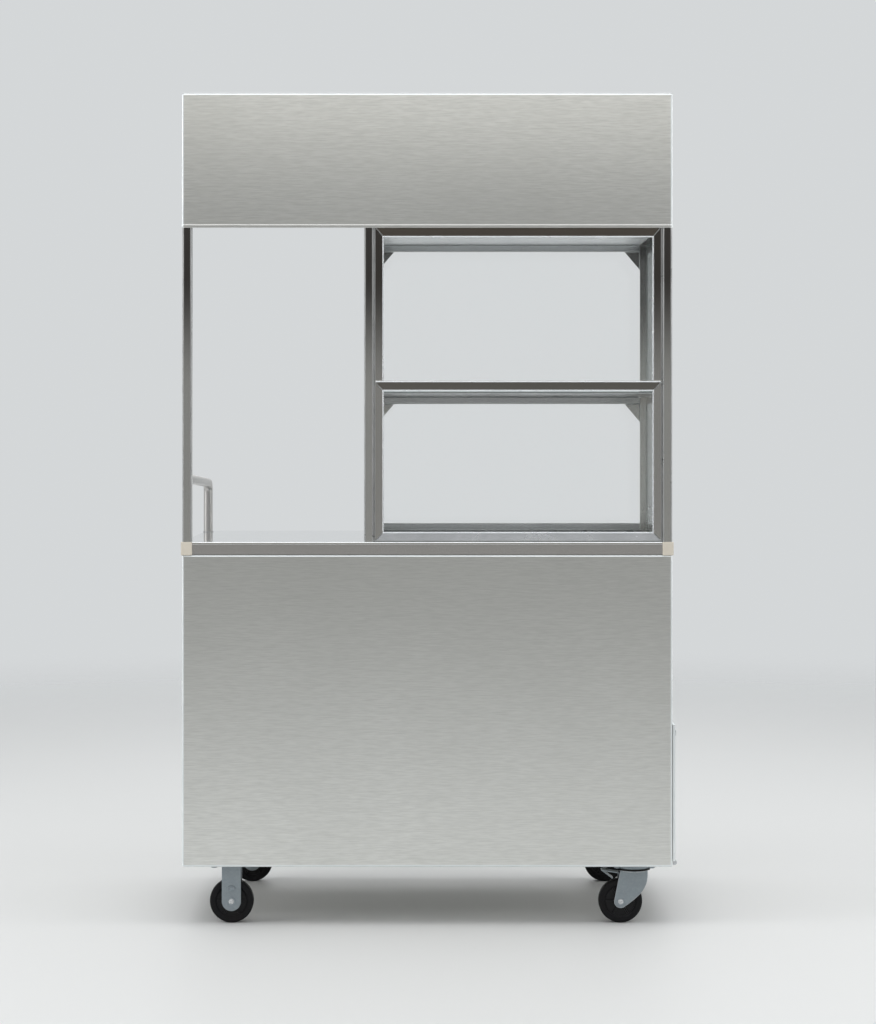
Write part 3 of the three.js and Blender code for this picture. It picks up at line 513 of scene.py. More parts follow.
# takes a drawn mesh from millimetres to its place in the frame and hands it to its body
# its normals are weighted by area, so that a flat face stays flat beside its rounded edges
def finishPiece(name, mesh, materials, body, slot, stands=(), smooth=35, scaled=True):
    if isinstance(mesh, bmesh.types.BMesh):
        data = bpy.data.meshes.new(name)
        if scaled:
            bmesh.ops.scale(mesh, vec=(mm, mm, mm), verts=mesh.verts)
            bmesh.ops.translate(mesh, vec=middle, verts=mesh.verts)
        mesh.to_mesh(data)
        mesh.free()
    else:
        data = mesh
        data.name = name
    if not data.materials:
        for material in materials:
            data.materials.append(material)
    data.shade_smooth()
    data.set_sharp_from_angle(angle=math.radians(smooth))
    piece = bpy.data.objects.new(name, data)
    bpy.context.scene.collection.objects.link(piece)
    piece.modifiers.new("flat faces", "WEIGHTED_NORMAL").keep_sharp = True
    finished = piece.evaluated_get(bpy.context.evaluated_depsgraph_get())
    piece.data = bpy.data.meshes.new_from_object(finished)
    piece.modifiers.clear()
    piece.data.name = name
    bpy.data.meshes.remove(data)
    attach(piece, body)
    if stands:
        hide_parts(*stands)


# a closed box between two values of x, of y and of z
def addBox(mesh, xs, ys, zs, index=0):
    corners = [mesh.verts.new((x, y, z)) for x in xs for y in ys for z in zs]
    faces = ((0, 1, 3, 2), (4, 6, 7, 5), (0, 4, 5, 1), (2, 3, 7, 6), (0, 2, 6, 4), (1, 5, 7, 3))
    for face in faces:
        made = mesh.faces.new([corners[i] for i in face])
        made.material_index = index


# points of an arc round a centre, with its turns in degrees
def arcPoints(centre, radius, start, end, steps):
    turns = [math.radians(start + (end - start) * i / steps) for i in range(steps + 1)]
    return [(centre[0] + math.cos(t) * radius, centre[1] + math.sin(t) * radius) for t in turns]


# joins rings of points to one closed skin; a ring closes on itself, and the ends are capped
def loft(mesh, rings, index=0, capped=True, closed=False):
    made = [[mesh.verts.new(point) for point in ring] for ring in rings]
    pairs = list(zip(made, made[1:]))
    if closed:
        pairs.append((made[-1], made[0]))
    count = len(made[0])
    faces = []
    for first, second in pairs:
        for i in range(count):
            j = (i + 1) % count
            faces.append(mesh.faces.new((first[i], second[i], second[j], first[j])))
    if capped and not closed:
        faces.append(mesh.faces.new(made[0]))
        faces.append(mesh.faces.new(made[-1]))
    for face in faces:
        face.material_index = index
    bmesh.ops.recalc_face_normals(mesh, faces=faces)
    return faces


# tolerances: pole and onAxis in millimetres, merge and sliver in metres, flat in degrees
closing = {"pole": 0.0001, "onAxis": 0.00001, "merge": 0.00002, "sliver": 0.000002, "flat": 0.6}


# a turned piece round an axis along Y or Z: each point is a radius and a distance along the axis
def turned(mesh, axis, profile, centre, segments=48, index=0):
    x, y, z = centre
    rings = []
    for i in range(segments):
        turn = math.tau * i / segments
        side, up = math.cos(turn), math.sin(turn)
        if axis == "Y":
            rings.append([(x + r * side, y + along, z + r * up) for r, along in profile])
        else:
            rings.append([(x + r * side, y + r * up, z + along) for r, along in profile])
    faces = loft(mesh, rings, index, capped=False, closed=True)
    verts = {vert for face in faces for vert in face.verts}
    poles = [vert for vert in verts if onAxis(vert.co, axis, centre)]
    bmesh.ops.remove_doubles(mesh, verts=poles, dist=closing["pole"])


# whether a point drawn in millimetres lies on a turned piece's axis
def onAxis(place, axis, centre):
    aside = place - Vector(centre)
    aside["XYZ".index(axis)] = 0
    return aside.length < closing["onAxis"]


def hardEdges(mesh, angle=40):
    limit = math.radians(angle)
    return [e for e in mesh.edges if len(e.link_faces) == 2 and e.calc_face_angle() > limit]


def roundEdges(mesh, edges, width, steps=2, clamp=True):
    bmesh.ops.bevel(
        mesh, geom=edges, offset=width, segments=steps, profile=0.5, affect="EDGES",
        clamp_overlap=clamp,
    )


# the finish of a face by how it lies: one that looks along an axis is plain, others are an edge and
# get the second finish, on steel and zinc a painted highlight
def askew(face):
    alongAxis = 0.985
    return 0 if max(abs(part) for part in face.normal) > alongAxis else 1


# a solid's copy with its hard edges rounded; wide names edges that get a wider round of their own
def softened(node, materials, width, slot, pick=askew, wide=None, extra=None):
    source = nodes[node]
    mesh = bmesh.new()
    mesh.from_mesh(source.data)
    bmesh.ops.remove_doubles(mesh, verts=mesh.verts, dist=closing["merge"])
    bmesh.ops.dissolve_limit(
        mesh, angle_limit=math.radians(closing["flat"]), verts=mesh.verts, edges=mesh.edges,
    )
    if wide:
        chosen, wideWidth = wide
        edges = [edge for edge in hardEdges(mesh) if chosen(edge)]
        roundEdges(mesh, edges, wideWidth * mm, steps=4, clamp=False)
    roundEdges(mesh, hardEdges(mesh), width * mm)
    bmesh.ops.dissolve_degenerate(mesh, dist=closing["sliver"], edges=mesh.edges)
    bmesh.ops.triangulate(mesh, faces=[face for face in mesh.faces if len(face.verts) > 4])
    for face in mesh.faces:
        face.material_index = min(pick(face), len(materials) - 1)
    if extra:
        bmesh.ops.translate(mesh, vec=-middle, verts=mesh.verts)
        bmesh.ops.scale(mesh, vec=(1 / mm,) * 3, verts=mesh.verts)
        extra(mesh)
    finishPiece(
        node + "_soft", mesh, materials, source["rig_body"], slot, (node,), scaled=bool(extra),
    )


# a node's box in millimetres from the middle of the base frame
def boxOf(node):
    low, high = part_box(node)
    return [tuple((corner - middle) / mm) for corner in (low, high)]


tube = {"radius": 3.6, "wall": 1.5, "steps": 6}


# an upright square tube drawn in the box of its node; its rounded corners get the second finish, a
# painted highlight
def squareTube(node, finish):
    radius, wall, steps = tube["radius"], tube["wall"], tube["steps"]
    (x0, y0, z0), (x1, y1, z1) = boxOf(node)
    spots = ((x1, y1, 0), (x0, y1, 90), (x0, y0, 180), (x1, y0, 270))

    def ring(inset, z):
        points = []
        for x, y, turn in spots:
            centre = (x - math.copysign(radius, x - x0 - 1), y - math.copysign(radius, y - y0 - 1))
            points += arcPoints(centre, radius - inset, turn, turn + 90, steps)
        return [(x, y, z) for x, y in points]

    mesh = bmesh.new()
    rings = [ring(0, z0), ring(0, z1), ring(wall, z1), ring(wall, z0)]
    faces = loft(mesh, rings, 0, capped=False, closed=True)
    for i in range(4 * (steps + 1)):
        faces[i].material_index = 0 if i % (steps + 1) == steps else 1
    finishPiece(node + "_tube", mesh, finish, "cart_body", "frame_tube", (node,))


# sweeps a closed section (outward distance, height) along a plan path of (place, outward normal)
# strips marked bright and the path's corners get the second material, a painted highlight, and the
# hem gets the third, a painted shade
def sweptSheet(mesh, path, section, bright, hem=()):
    rings = []
    for (x, y), (outX, outY) in path:
        rings.append([(x + outX * out, y + outY * out, z) for out, z in section])
    count = len(section)
    faces = loft(mesh, rings)
    straight = 0.01
    for i, face in enumerate(faces[: (len(rings) - 1) * count]):
        step, spot = divmod(i, count)
        corner = (Vector(path[step][1]) - Vector(path[step + 1][1])).length > straight
        face.material_index = 1 if corner or spot in bright else 2 if spot in hem else 0


# the plan path of a sheet folded round two corners, along its outer face
def foldedPath(left, right, face, returnTo, radius, steps=6):
    path = [((left, returnTo), (-1, 0))]
    for centreX, start in ((left + radius, 180), (right - radius, 270)):
        for place in arcPoints((0, 0), 1, start, start + 90, steps):
            path.append(((centreX + place[0] * radius, face + radius + place[1] * radius), place))
    path.append(((right, returnTo), (1, 0)))
    return path


# geometry nodes: small helpers first, then one tree for each thing that repeats or follows a path


def newTree(name, inputs):
    tree = bpy.data.node_groups.new(name, "GeometryNodeTree")
    tree.interface.new_socket(name="Geometry", in_out="INPUT", socket_type="NodeSocketGeometry")
    for label, kind in inputs:
        tree.interface.new_socket(name=label, in_out="INPUT", socket_type=kind)
    tree.interface.new_socket(name="Geometry", in_out="OUTPUT", socket_type="NodeSocketGeometry")
    source = tree.nodes.new("NodeGroupInput")
    result = tree.nodes.new("NodeGroupOutput")
    return tree, source, result


def addNode(tree, kind, links=(), values=(), **settings):
    node = tree.nodes.new(kind)
    for key, value in settings.items():
        setattr(node, key, value)
    for socket, output in links:
        tree.links.new(output, node.inputs[socket])
    for socket, value in values:
        node.inputs[socket].default_value = value
    return node


# ends a tree: copies on points, turned to the attribute "facing", made real and given their finish
def placeCopies(tree, source, result, points, copy):
    facing = addNode(tree, "GeometryNodeInputNamedAttribute", [], [
        ("Name", "facing"),
    ], data_type="FLOAT_VECTOR")
    turn = addNode(tree, "FunctionNodeAlignRotationToVector", [
        ("Vector", facing.outputs["Attribute"]),
    ], axis="Z")
    placed = addNode(tree, "GeometryNodeInstanceOnPoints", [
        ("Points", points), ("Instance", copy), ("Rotation", turn.outputs["Rotation"]),
    ])
    finishTree(tree, source, result, placed.outputs["Instances"])


def finishTree(tree, source, result, geometry):
    real = addNode(tree, "GeometryNodeRealizeInstances", [("Geometry", geometry)])
    finish = addNode(tree, "GeometryNodeSetMaterial", [
        ("Geometry", real.outputs["Geometry"]), ("Material", source.outputs["Finish"]),
    ])
    tree.links.new(finish.outputs["Geometry"], result.inputs["Geometry"])


# points at an even pitch along each edge of the seed mesh
def evenPoints(tree, source):
    line = addNode(tree, "GeometryNodeMeshToCurve", [("Mesh", source.outputs["Geometry"])])
    return addNode(tree, "GeometryNodeResampleCurve", [
        ("Curve", line.outputs["Curve"]), ("Length", source.outputs["Pitch"]),
    ], mode="LENGTH").outputs["Curve"]


def moved(tree, mesh, height):
    lift = addNode(tree, "ShaderNodeCombineXYZ", [("Z", height)])
    return addNode(tree, "GeometryNodeTransform", [
        ("Geometry", mesh), ("Translation", lift.outputs["Vector"]),
    ]).outputs["Geometry"]


def scaledValue(tree, value, factor, operation="MULTIPLY"):
    node = addNode(tree, "ShaderNodeMath", [(0, value)], operation=operation)
    if isinstance(factor, bpy.types.NodeSocket):
        tree.links.new(factor, node.inputs[1])
    else:
        node.inputs[1].default_value = factor
    return node.outputs["Value"]


# shares of the head's height and radius, and the sides and steps of the round parts
boltShape = {"straight": 0.8, "chamfer": 0.2, "chamferTop": 0.82, "sides": 6, "washerSides": 28}
rivetShape = {
    "dome": (18, 8),
    "domeShare": 0.4,
    "pinRadius": 0.38,
    "pinLength": 0.9,
    "pinSides": 12,
}
rippleShape = {"segments": 10, "rings": 6}
bentShape = {"bendSteps": 14, "sides": 40}


# hexagon bolts with a washer and a chamfered head, one on each point
def boltTree():
    tree, source, result = newTree("hexagon bolts", [
        ("Head radius", "NodeSocketFloat"), ("Head height", "NodeSocketFloat"),
        ("Washer radius", "NodeSocketFloat"), ("Washer wall", "NodeSocketFloat"),
        ("Finish", "NodeSocketMaterial"),
    ])
    radius, height = source.outputs["Head radius"], source.outputs["Head height"]
    wall = source.outputs["Washer wall"]
    straight = scaledValue(tree, height, boltShape["straight"])
    washer = addNode(tree, "GeometryNodeMeshCylinder", [
        ("Radius", source.outputs["Washer radius"]), ("Depth", wall),
    ], [("Vertices", boltShape["washerSides"])])
    body = addNode(tree, "GeometryNodeMeshCylinder", [
        ("Radius", radius), ("Depth", straight),
    ], [("Vertices", boltShape["sides"])])
    chamfer = addNode(tree, "GeometryNodeMeshCone", [
        ("Radius Bottom", radius),
        ("Radius Top", scaledValue(tree, radius, boltShape["chamferTop"])),
        ("Depth", scaledValue(tree, height, boltShape["chamfer"])),
    ], [("Vertices", boltShape["sides"])])
    stack = addNode(tree, "GeometryNodeJoinGeometry")
    pieces = (
        (washer, scaledValue(tree, wall, 0.5)),
        (body, scaledValue(tree, wall, scaledValue(tree, straight, 0.5), "ADD")),
        (chamfer, scaledValue(tree, wall, straight, "ADD")),
    )
    for piece, at in pieces:
        tree.links.new(moved(tree, piece.outputs["Mesh"], at), stack.inputs["Geometry"])
    points = addNode(tree, "GeometryNodeMeshToPoints", [("Mesh", source.outputs["Geometry"])])
    placeCopies(tree, source, result, points.outputs["Points"], stack.outputs["Geometry"])
    return tree


# blind rivets: a low dome round the end of its pulled pin, at an even pitch along each edge
def rivetTree():
    tree, source, result = newTree("rivet rows", [
        ("Pitch", "NodeSocketFloat"), ("Head radius", "NodeSocketFloat"),
        ("Dome share", "NodeSocketFloat"), ("Finish", "NodeSocketMaterial"),
    ])
    radius = source.outputs["Head radius"]
    segments, rings = rivetShape["dome"]
    dome = addNode(tree, "GeometryNodeMeshUVSphere", [
        ("Radius", radius),
    ], [("Segments", segments), ("Rings", rings)])
    flat = addNode(tree, "ShaderNodeCombineXYZ", [
        ("Z", source.outputs["Dome share"]),
    ], [("X", 1), ("Y", 1)])
    low = addNode(tree, "GeometryNodeTransform", [
        ("Geometry", dome.outputs["Mesh"]), ("Scale", flat.outputs["Vector"]),
    ])
    pin = addNode(tree, "GeometryNodeMeshCylinder", [
        ("Radius", scaledValue(tree, radius, rivetShape["pinRadius"])),
        ("Depth", scaledValue(tree, radius, rivetShape["pinLength"])),
    ], [("Vertices", rivetShape["pinSides"])])
    both = addNode(tree, "GeometryNodeJoinGeometry")
    for piece in (low.outputs["Geometry"], pin.outputs["Mesh"]):
        tree.links.new(piece, both.inputs["Geometry"])
    placeCopies(tree, source, result, evenPoints(tree, source), both.outputs["Geometry"])
    return tree


# a weld: overlapping round ripples at an even pitch along each edge
def weldTree():
    tree, source, result = newTree("weld ripples", [
        ("Pitch", "NodeSocketFloat"), ("Ripple radius", "NodeSocketFloat"),
        ("Finish", "NodeSocketMaterial"),
    ])
    ripple = addNode(tree, "GeometryNodeMeshUVSphere", [
        ("Radius", source.outputs["Ripple radius"]),
    ], [("Segments", rippleShape["segments"]), ("Rings", rippleShape["rings"])])
    placeCopies(tree, source, result, evenPoints(tree, source), ripple.outputs["Mesh"])
    return tree


# a round tube along a path of straight legs, with its corners bent to a radius
def bentTubeTree():
    tree, source, result = newTree("bent tube", [
        ("Tube radius", "NodeSocketFloat"), ("Bend radius", "NodeSocketFloat"),
        ("Finish", "NodeSocketMaterial"),
    ])
    line = addNode(tree, "GeometryNodeMeshToCurve", [("Mesh", source.outputs["Geometry"])])
    bent = addNode(tree, "GeometryNodeFilletCurve", [
        ("Curve", line.outputs["Curve"]), ("Radius", source.outputs["Bend radius"]),
    ], [("Count", bentShape["bendSteps"])], mode="POLY")
    ring = addNode(tree, "GeometryNodeCurvePrimitiveCircle", [
        ("Radius", source.outputs["Tube radius"]),
    ], [("Resolution", bentShape["sides"])])
    skin = addNode(tree, "GeometryNodeCurveToMesh", [
        ("Curve", bent.outputs["Curve"]), ("Profile Curve", ring.outputs["Curve"]),
    ], [("Fill Caps", True)])
    finishTree(tree, source, result, skin.outputs["Mesh"])
    return tree


# runs a tree on points or edges drawn in millimetres, and gives back a plain mesh
# each path has one direction that its copies face; the sizes go to the tree's inputs by name
def grown(tree, paths, facing, sizes, finish):
    data = bpy.data.meshes.new(tree.name + " path")
    points = [Vector(point) * mm + middle for path in paths for point in path]
    edges, start = [], 0
    for path in paths:
        edges += [(start + i, start + i + 1) for i in range(len(path) - 1)]
        start += len(path)
    data.from_pydata(points, edges, [])
    attribute = data.attributes.new("facing", "FLOAT_VECTOR", "POINT")
    spots = [direction for path, direction in zip(paths, facing) for _ in path]
    for i, direction in enumerate(spots):
        attribute.data[i].vector = direction
    seed = bpy.data.objects.new(tree.name + " seed", data)
    bpy.context.scene.collection.objects.link(seed)
    modifier = seed.modifiers.new("grow", "NODES")
    modifier.node_group = tree
    for socket in tree.interface.items_tree:
        if socket.in_out == "INPUT" and socket.name in sizes:
            modifier[socket.identifier] = float(sizes[socket.name])
        if socket.in_out == "INPUT" and socket.name == "Finish":
            modifier[socket.identifier] = finish
    ready = seed.evaluated_get(bpy.context.evaluated_depsgraph_get())
    plain = bpy.data.meshes.new_from_object(ready)
    seed.modifiers.remove(modifier)
    bpy.data.objects.remove(seed)
    if "facing" in plain.attributes:
        plain.attributes.remove(plain.attributes["facing"])
    return plain


bolts = boltTree()
rivets = rivetTree()
welds = weldTree()
bentTube = bentTubeTree()
print("stage: geometry node trees built")

# front board of the hood: a folded sheet with a doubled hem along its lower edge

# the hem is drawn from below as (outward distance, height above the board's lower edge)
board = {
    "hem": ((0.5, 1.0), (1, 2.2), (1, 5.6), (0.5, 6.6), (0, 7.1)),
    "hemRound": 2,
    "hemInside": 3,
    "foldRadius": 4.4,
    "topRadius": 4,
    "topReturn": 4.6,
    "underRoof": 0.05,
    "returnTo": -280.5,
}


# a section runs up the outer face and down the inner one: (outward distance, height)
def boardSection(spec):
    wall = cart["sheet"]
    top = cart["roof"] - spec["underRoof"]
    bottom = cart["boardBottom"]
    section = arcPoints((-wall, bottom + spec["hemRound"]), spec["hemRound"], 200, 300, 3)
    section += [(out, bottom + up) for out, up in spec["hem"]]
    radius = spec["topRadius"]
    start = len(section)
    section += arcPoints((-radius, top - radius), radius, 0, 90, 6)
    # strips by their number: the top fold, for the painted highlight, and the hem without its flat
    # face, for the painted shade
    bright = set(range(start, start + 7))
    hem = {0, 1, 2, 3, 4, 6, 7}
    section += [(-spec["topReturn"], top), (-spec["topReturn"], top - wall)]
    section += arcPoints((-radius, top - radius), radius - wall, 90, 0, 4)
    section += [(-wall, bottom + spec["hemInside"])]
    return section, bright, hem


outer = cart["halfWidth"] + cart["sheet"]
frontFace = -cart["halfDepth"] - cart["sheet"]
mesh = bmesh.new()
boardPath = foldedPath(-outer, outer, frontFace, board["returnTo"], board["foldRadius"])
sweptSheet(mesh, boardPath, *boardSection(board))
finishPiece(
    "roof_board", mesh, [boardSheet, foldHighlight, hemShade], "cart_body", "sheet_panel",
    ("front_board",),
)

# front of the cabinet: a folded sheet with a returned top edge and a short bottom flange

panel = {
    "bottom": 121,
    "top": 757,
    "radius": 3.0,
    "topReturn": 13,
    # a short flat strip above the lower fold that gets the painted highlight too
    "highlightStrip": 1.4,
    "bottomReturn": 8,
    "foldRadius": 4.4,
    "returnTo": -280.5,
}


def panelSection(spec):
    wall = cart["sheet"]
    radius = spec["radius"]
    section = [(-spec["bottomReturn"], spec["bottom"])]
    section += arcPoints((-radius, spec["bottom"] + radius), radius, 270, 360, 5)
    section.append((0, spec["bottom"] + radius + spec["highlightStrip"]))
    section += arcPoints((-radius, spec["top"] - radius), radius, 0, 90, 5)
    # strips by their number, for the painted highlight: the lower fold with a short flat strip
    # above it, and the upper fold
    bright = set(range(1, 7)) | set(range(8, 13))
    section += [(-spec["topReturn"], spec["top"]), (-spec["topReturn"], spec["top"] - wall)]
    section += arcPoints((-radius, spec["top"] - radius), radius - wall, 90, 0, 4)
    section += arcPoints((-radius, spec["bottom"] + radius), radius - wall, 0, -90, 4)
    section += [(-spec["bottomReturn"], spec["bottom"] + wall)]
    return section, bright


mesh = bmesh.new()
panelPath = foldedPath(-outer, outer, frontFace, panel["returnTo"], panel["foldRadius"])
sweptSheet(mesh, panelPath, *panelSection(panel))
finishPiece(
    "cabinet_front", mesh, [brushedSheet, foldHighlight], "cart_body", "sheet_panel", ("front_panel",),
)
print("stage: front sheets made")

# display case: mitred angle frames with a bead along each window, made bright by a painted
# highlight

angle = {
    "face": 20,
    "topFace": 24,
    "wall": 1.5,
    "round": 3.2,
    "lipRound": 0.7,
    "beadWidth": 3.0,
    "beadOver": 0.4,
    "beadProud": 0.8,
    "beadDepth": 2.4,
    "seam": 0.12,
    "seamChamfer": 1.1,
    "seamDrop": 0.7,
    "seamFront": 0.6,
    "midBottom": 1092,
    "midFace": 21,
    "midRound": 0.8,
    "shelfRail": (14, 16),
    "shelfRailGap": 0.3,
    "frontFace": -299,
    "frontRim": 19,
    "sideRim": 19.8,
    "leftFace": -129,
    "rightFace": 500,
    "ledge": ((-297.5, -292), (1092.2, 1093.5)),
}


# one member of a frame: a profile of (across the face, depth) drawn along an edge of the frame
# a mitre is how far its end moves back for each unit across; 0 is a square end
# faces of the profile listed as bright get the third material, a painted highlight, and so does the
# chamfer of a mitre
def member(mesh, corner, along, inward, depth, length, section, mitres, index=0, shine=2):
    profile, bright = section
    corner, along, inward, depth = (Vector(part) for part in (corner, along, inward, depth))
    seam, chamfer = angle["seam"], angle["seamChamfer"]
    sink, front = chamfer * angle["seamDrop"], angle["seamFront"]
    rings = []
    start, end = mitres
    stops = ((start, 0, 1), (start, chamfer, 0), (end, -chamfer, 0), (end, 0, 1))
    for i, (mitre, step, sunk) in enumerate(stops):
        ring = []
        for across, back in profile:
            shift = across * mitre + seam
            place = shift + step if i < 2 else length - shift + step
            drop = sink if sunk and back < front else 0
            ring.append(corner + along * place + inward * across + depth * (back + drop))
        rings.append(ring)
    faces = loft(mesh, rings, index)
    count = len(profile)
    for i in range(count * 3):
        step, spot = divmod(i, count)
        if step != 1 and mitres[step // 2] or spot in bright:
            faces[i].material_index = shine


def angleProfile(face, depth):
    wall, radius, lip = angle["wall"], angle["round"], angle["lipRound"]
    points = arcPoints((radius, radius), radius, 180, 270, 5)
    points += arcPoints((face - lip, lip), lip, 270, 360, 3)
    return points + [(face, wall), (wall, wall), (wall, depth), (0, depth)], set(range(5))


# the bead lies on the inner edge of the face, half proud of it
def beadProfile(face):
    proud, deep, wide = angle["beadProud"], angle["beadDepth"], angle["beadWidth"]
    low, high = face - wide + angle["beadOver"], face + angle["beadOver"]
    radius = wide / 2
    points = arcPoints((low + radius, radius - proud), radius, 180, 360, 8)
    return points + [(high, deep), (low, deep)], set(range(9))


# a whole frame round a window; plane gives its horizontal axis and its depth axis
# a middle rail is mitred into the stiles below it, and the stiles above stand on it
def angleFrame(mesh, span, depthAt, plane, rimDepth, finishes, middleTop=None):
    across, depth = plane
    up = Vector((0, 0, 1))
    low, high = span
    bottomZ, topZ = cart["counter"], cart["caseTop"]
    side, top = angle["face"], angle["topFace"]
    width = high - low

    def spot(a, z):
        return Vector(across) * a + Vector(depth) * depthAt + up * z

    back = -Vector(across)
    stiles = [(bottomZ, topZ, 1, top / side)]
    if middleTop:
        joint = angle["midFace"] / side
        stiles = [(bottomZ, middleTop, 1, joint), (middleTop, topZ, 0, top / side)]
    ends = (side / top, side / top)
    sides = [
        (spot(low, bottomZ), across, up, width, side, (1, 1), finishes[0]),
        (spot(high, topZ), back, -up, width, top, ends, finishes[2]),
    ]
    for foot, head, footMitre, headMitre in stiles:
        run = head - foot
        sides.append((spot(high, foot), up, back, run, side, (footMitre, headMitre), finishes[1]))
        sides.append((spot(low, head), -up, across, run, side, (headMitre, footMitre), finishes[1]))
    for corner, along, inward, length, face, mitres, index in sides:
        place = mesh, corner, along, inward, depth, length
        member(*place, angleProfile(face, rimDepth), mitres, index)
        member(*place, beadProfile(face), mitres, index=3, shine=3)


# the middle rail is a flat bar with a bead along both windows
def middleRail(mesh, low, high, face, top):
    wide, side, radius = angle["midFace"], angle["face"], angle["midRound"]
    profile = arcPoints((radius, radius), radius, 180, 270, 3)
    profile += arcPoints((wide - radius, radius), radius, 270, 360, 3)
    profile += [(wide, angle["wall"]), (0, angle["wall"])]
    corner, ends = (high, face, top), (side / wide, side / wide)
    axes = ((-1, 0, 0), (0, 0, -1), (0, 1, 0))
    member(mesh, corner, *axes, high - low, (profile, set()), ends, index=1)
    member(mesh, corner, *axes, high - low, beadProfile(wide), ends, index=3, shine=3)
    corner = (high - angle["round"], face, top)
    length = high - low - angle["round"] * 2
    bead = beadProfile(angle["beadWidth"])
    member(mesh, corner, *axes, length, bead, (0, 0), index=3, shine=3)


mesh = bmesh.new()
caseLow, caseHigh = cart["case"]
midTop = angle["midBottom"] + angle["midFace"]
angleFrame(
    mesh, (caseLow, caseHigh), angle["frontFace"], ((1, 0, 0), (0, 1, 0)), angle["frontRim"],
    (3, 0, 1), midTop,
)
middleRail(mesh, caseLow, caseHigh, angle["frontFace"], midTop)
addBox(mesh, (caseLow, caseHigh), *angle["ledge"], 1)
finishPiece(
    "case_front_angle", mesh, [uprightAngle, crossAngle, tubeEdge, beadHighlight], "cart_body",
    "case_angle", ("case_front_frame",),
)


# a side frame also carries the shelf on a short angle
def sideFrame(name, node, faceX, side):
    mesh = bmesh.new()
    reach = cart["caseBack"]
    depthAxis = (-side, 0, 0)
    axes = ((0, 1, 0), depthAxis)
    angleFrame(mesh, (-reach, reach), -faceX * side, axes, angle["sideRim"], (1, 0, 1))
    width, height = angle["shelfRail"]
    wall = angle["wall"]
    railX = caseLow if side < 0 else caseHigh
    outside = railX + side * width
    top = cart["shelf"]
    gap = angle["shelfRailGap"]
    ys = (-reach + gap, reach - gap)
    addBox(mesh, sorted((outside, outside - side * wall)), ys, (top - height, top), 1)
    addBox(mesh, sorted((outside - side * wall, railX)), ys, (top - wall, top), 1)
    finishPiece(
        name, mesh, [uprightAngle, deepAngle, tubeEdge, beadHighlight], "cart_body", "case_angle", (node,),
    )


sideFrame("case_left_angle", "case_left_frame", angle["leftFace"], -1)
sideFrame("case_right_angle", "case_right_frame", angle["rightFace"], 1)
print("stage: display case framed")

# hand rail: one bent tube from the front post back and down to the counter, welded at its foot

rail = {
    "x": -490,
    "post": (-279.7, 913),
    "bend": (227, 894),
    "radius": 10,
    "bendRadius": 20,
    "foot": 784.3,
}
railPath = [
    (rail["x"], rail["post"][0], rail["post"][1]),
    (rail["x"], rail["bend"][0], rail["bend"][1]),
    (rail["x"], rail["bend"][0], rail["foot"]),
]
railMesh = grown(bentTube, [railPath], [(0, 0, 1)], {
    "Tube radius": rail["radius"] * mm, "Bend radius": rail["bendRadius"] * mm,
}, railTube)
finishPiece("bent_hand_rail", railMesh, [railTube], "cart_body", "frame_tube", ("side_hand_rail",))

# casters: turned wheels, forks with pressed dimples, domed axle heads and brake pedals

caster = {
    "rigid": ((-402, -250), (-392, 250)),
    "swivelAxis": ((424, -250), (424, 250)),
    "trail": 27,
    "radius": 45,
    "forkHalf": 19,
    "plateBottom": 119,
    "plate": 90,
    "rigidPlate": 62,
    "swivelPlate": 78,
    "boltInset": 10,
}
wheel = {
    "coreSteps": 72,
    "tyreSteps": 96,
    "ribs": 6,
    "ribFoot": 8,
    "ribHalf": (2.2, 1.5),
    "ribTop": ((11.5, 14.2), (18, 12.2), (31.6, 11.4)),
}
dimples = {
    "leg": (18, 12, 2.4),
    "legHeight": 72,
    "rigidAxle": (19, 19, 0.6),
    "swivelAxle": (18, 18, 0.6),
}


def wheelProfiles():
    half = [
        (4.4, 15.9), (10.4, 15.9), (11.8, 15.2), (12.4, 13.6), (12.9, 10.4), (14.2, 9.2),
        (29.6, 8.6), (31.0, 9.4), (31.8, 11.6), (32.6, 12.4),
    ]
    tyre = [
        (32.6, 12.4), (33.4, 13.0), (36.5, 13.0), (37.0, 12.7), (37.5, 13.0), (41.2, 12.9),
        (43.0, 12.2), (44.2, 10.8), (44.8, 8.8), (45.0, 6.4),
    ]
    core = half + [(r, -o) for r, o in reversed(half)]
    ring = [(30.4, 11.0)] + tyre + [(r, -o) for r, o in reversed(tyre)] + [(30.4, -11.0)]
    return core, ring


# the core has ribs on each side, between hub and rim, which are wider at the foot
def wheelPiece(node, x, y):
    mesh = bmesh.new()
    core, tyre = wheelProfiles()
    centre = (x, y, caster["radius"])
    turned(mesh, "Y", core, centre, wheel["coreSteps"], 1)
    turned(mesh, "Y", tyre, centre, wheel["tyreSteps"], 0)
    wide, narrow = wheel["ribHalf"]
    for i in range(wheel["ribs"]):
        turn = math.tau * i / wheel["ribs"]
        out = Vector((math.cos(turn), 0, math.sin(turn)))
        side = Vector((-math.sin(turn), 0, math.cos(turn)))
        for face in (-1, 1):
            rings = []
            for reach, height in wheel["ribTop"]:
                foot = Vector(centre) + out * reach + Vector((0, face * wheel["ribFoot"], 0))
                top = Vector(centre) + out * reach + Vector((0, face * height, 0))
                base, ridge = side * wide, side * narrow
                rings.append([foot - base, foot + base, top + ridge, top - ridge])
            loft(mesh, rings, 1)
    finishPiece(
        node + "_turned", mesh, [wheelRubber, blackPlastic], nodes[node]["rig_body"], "caster_tyre",
        (node,),
    )


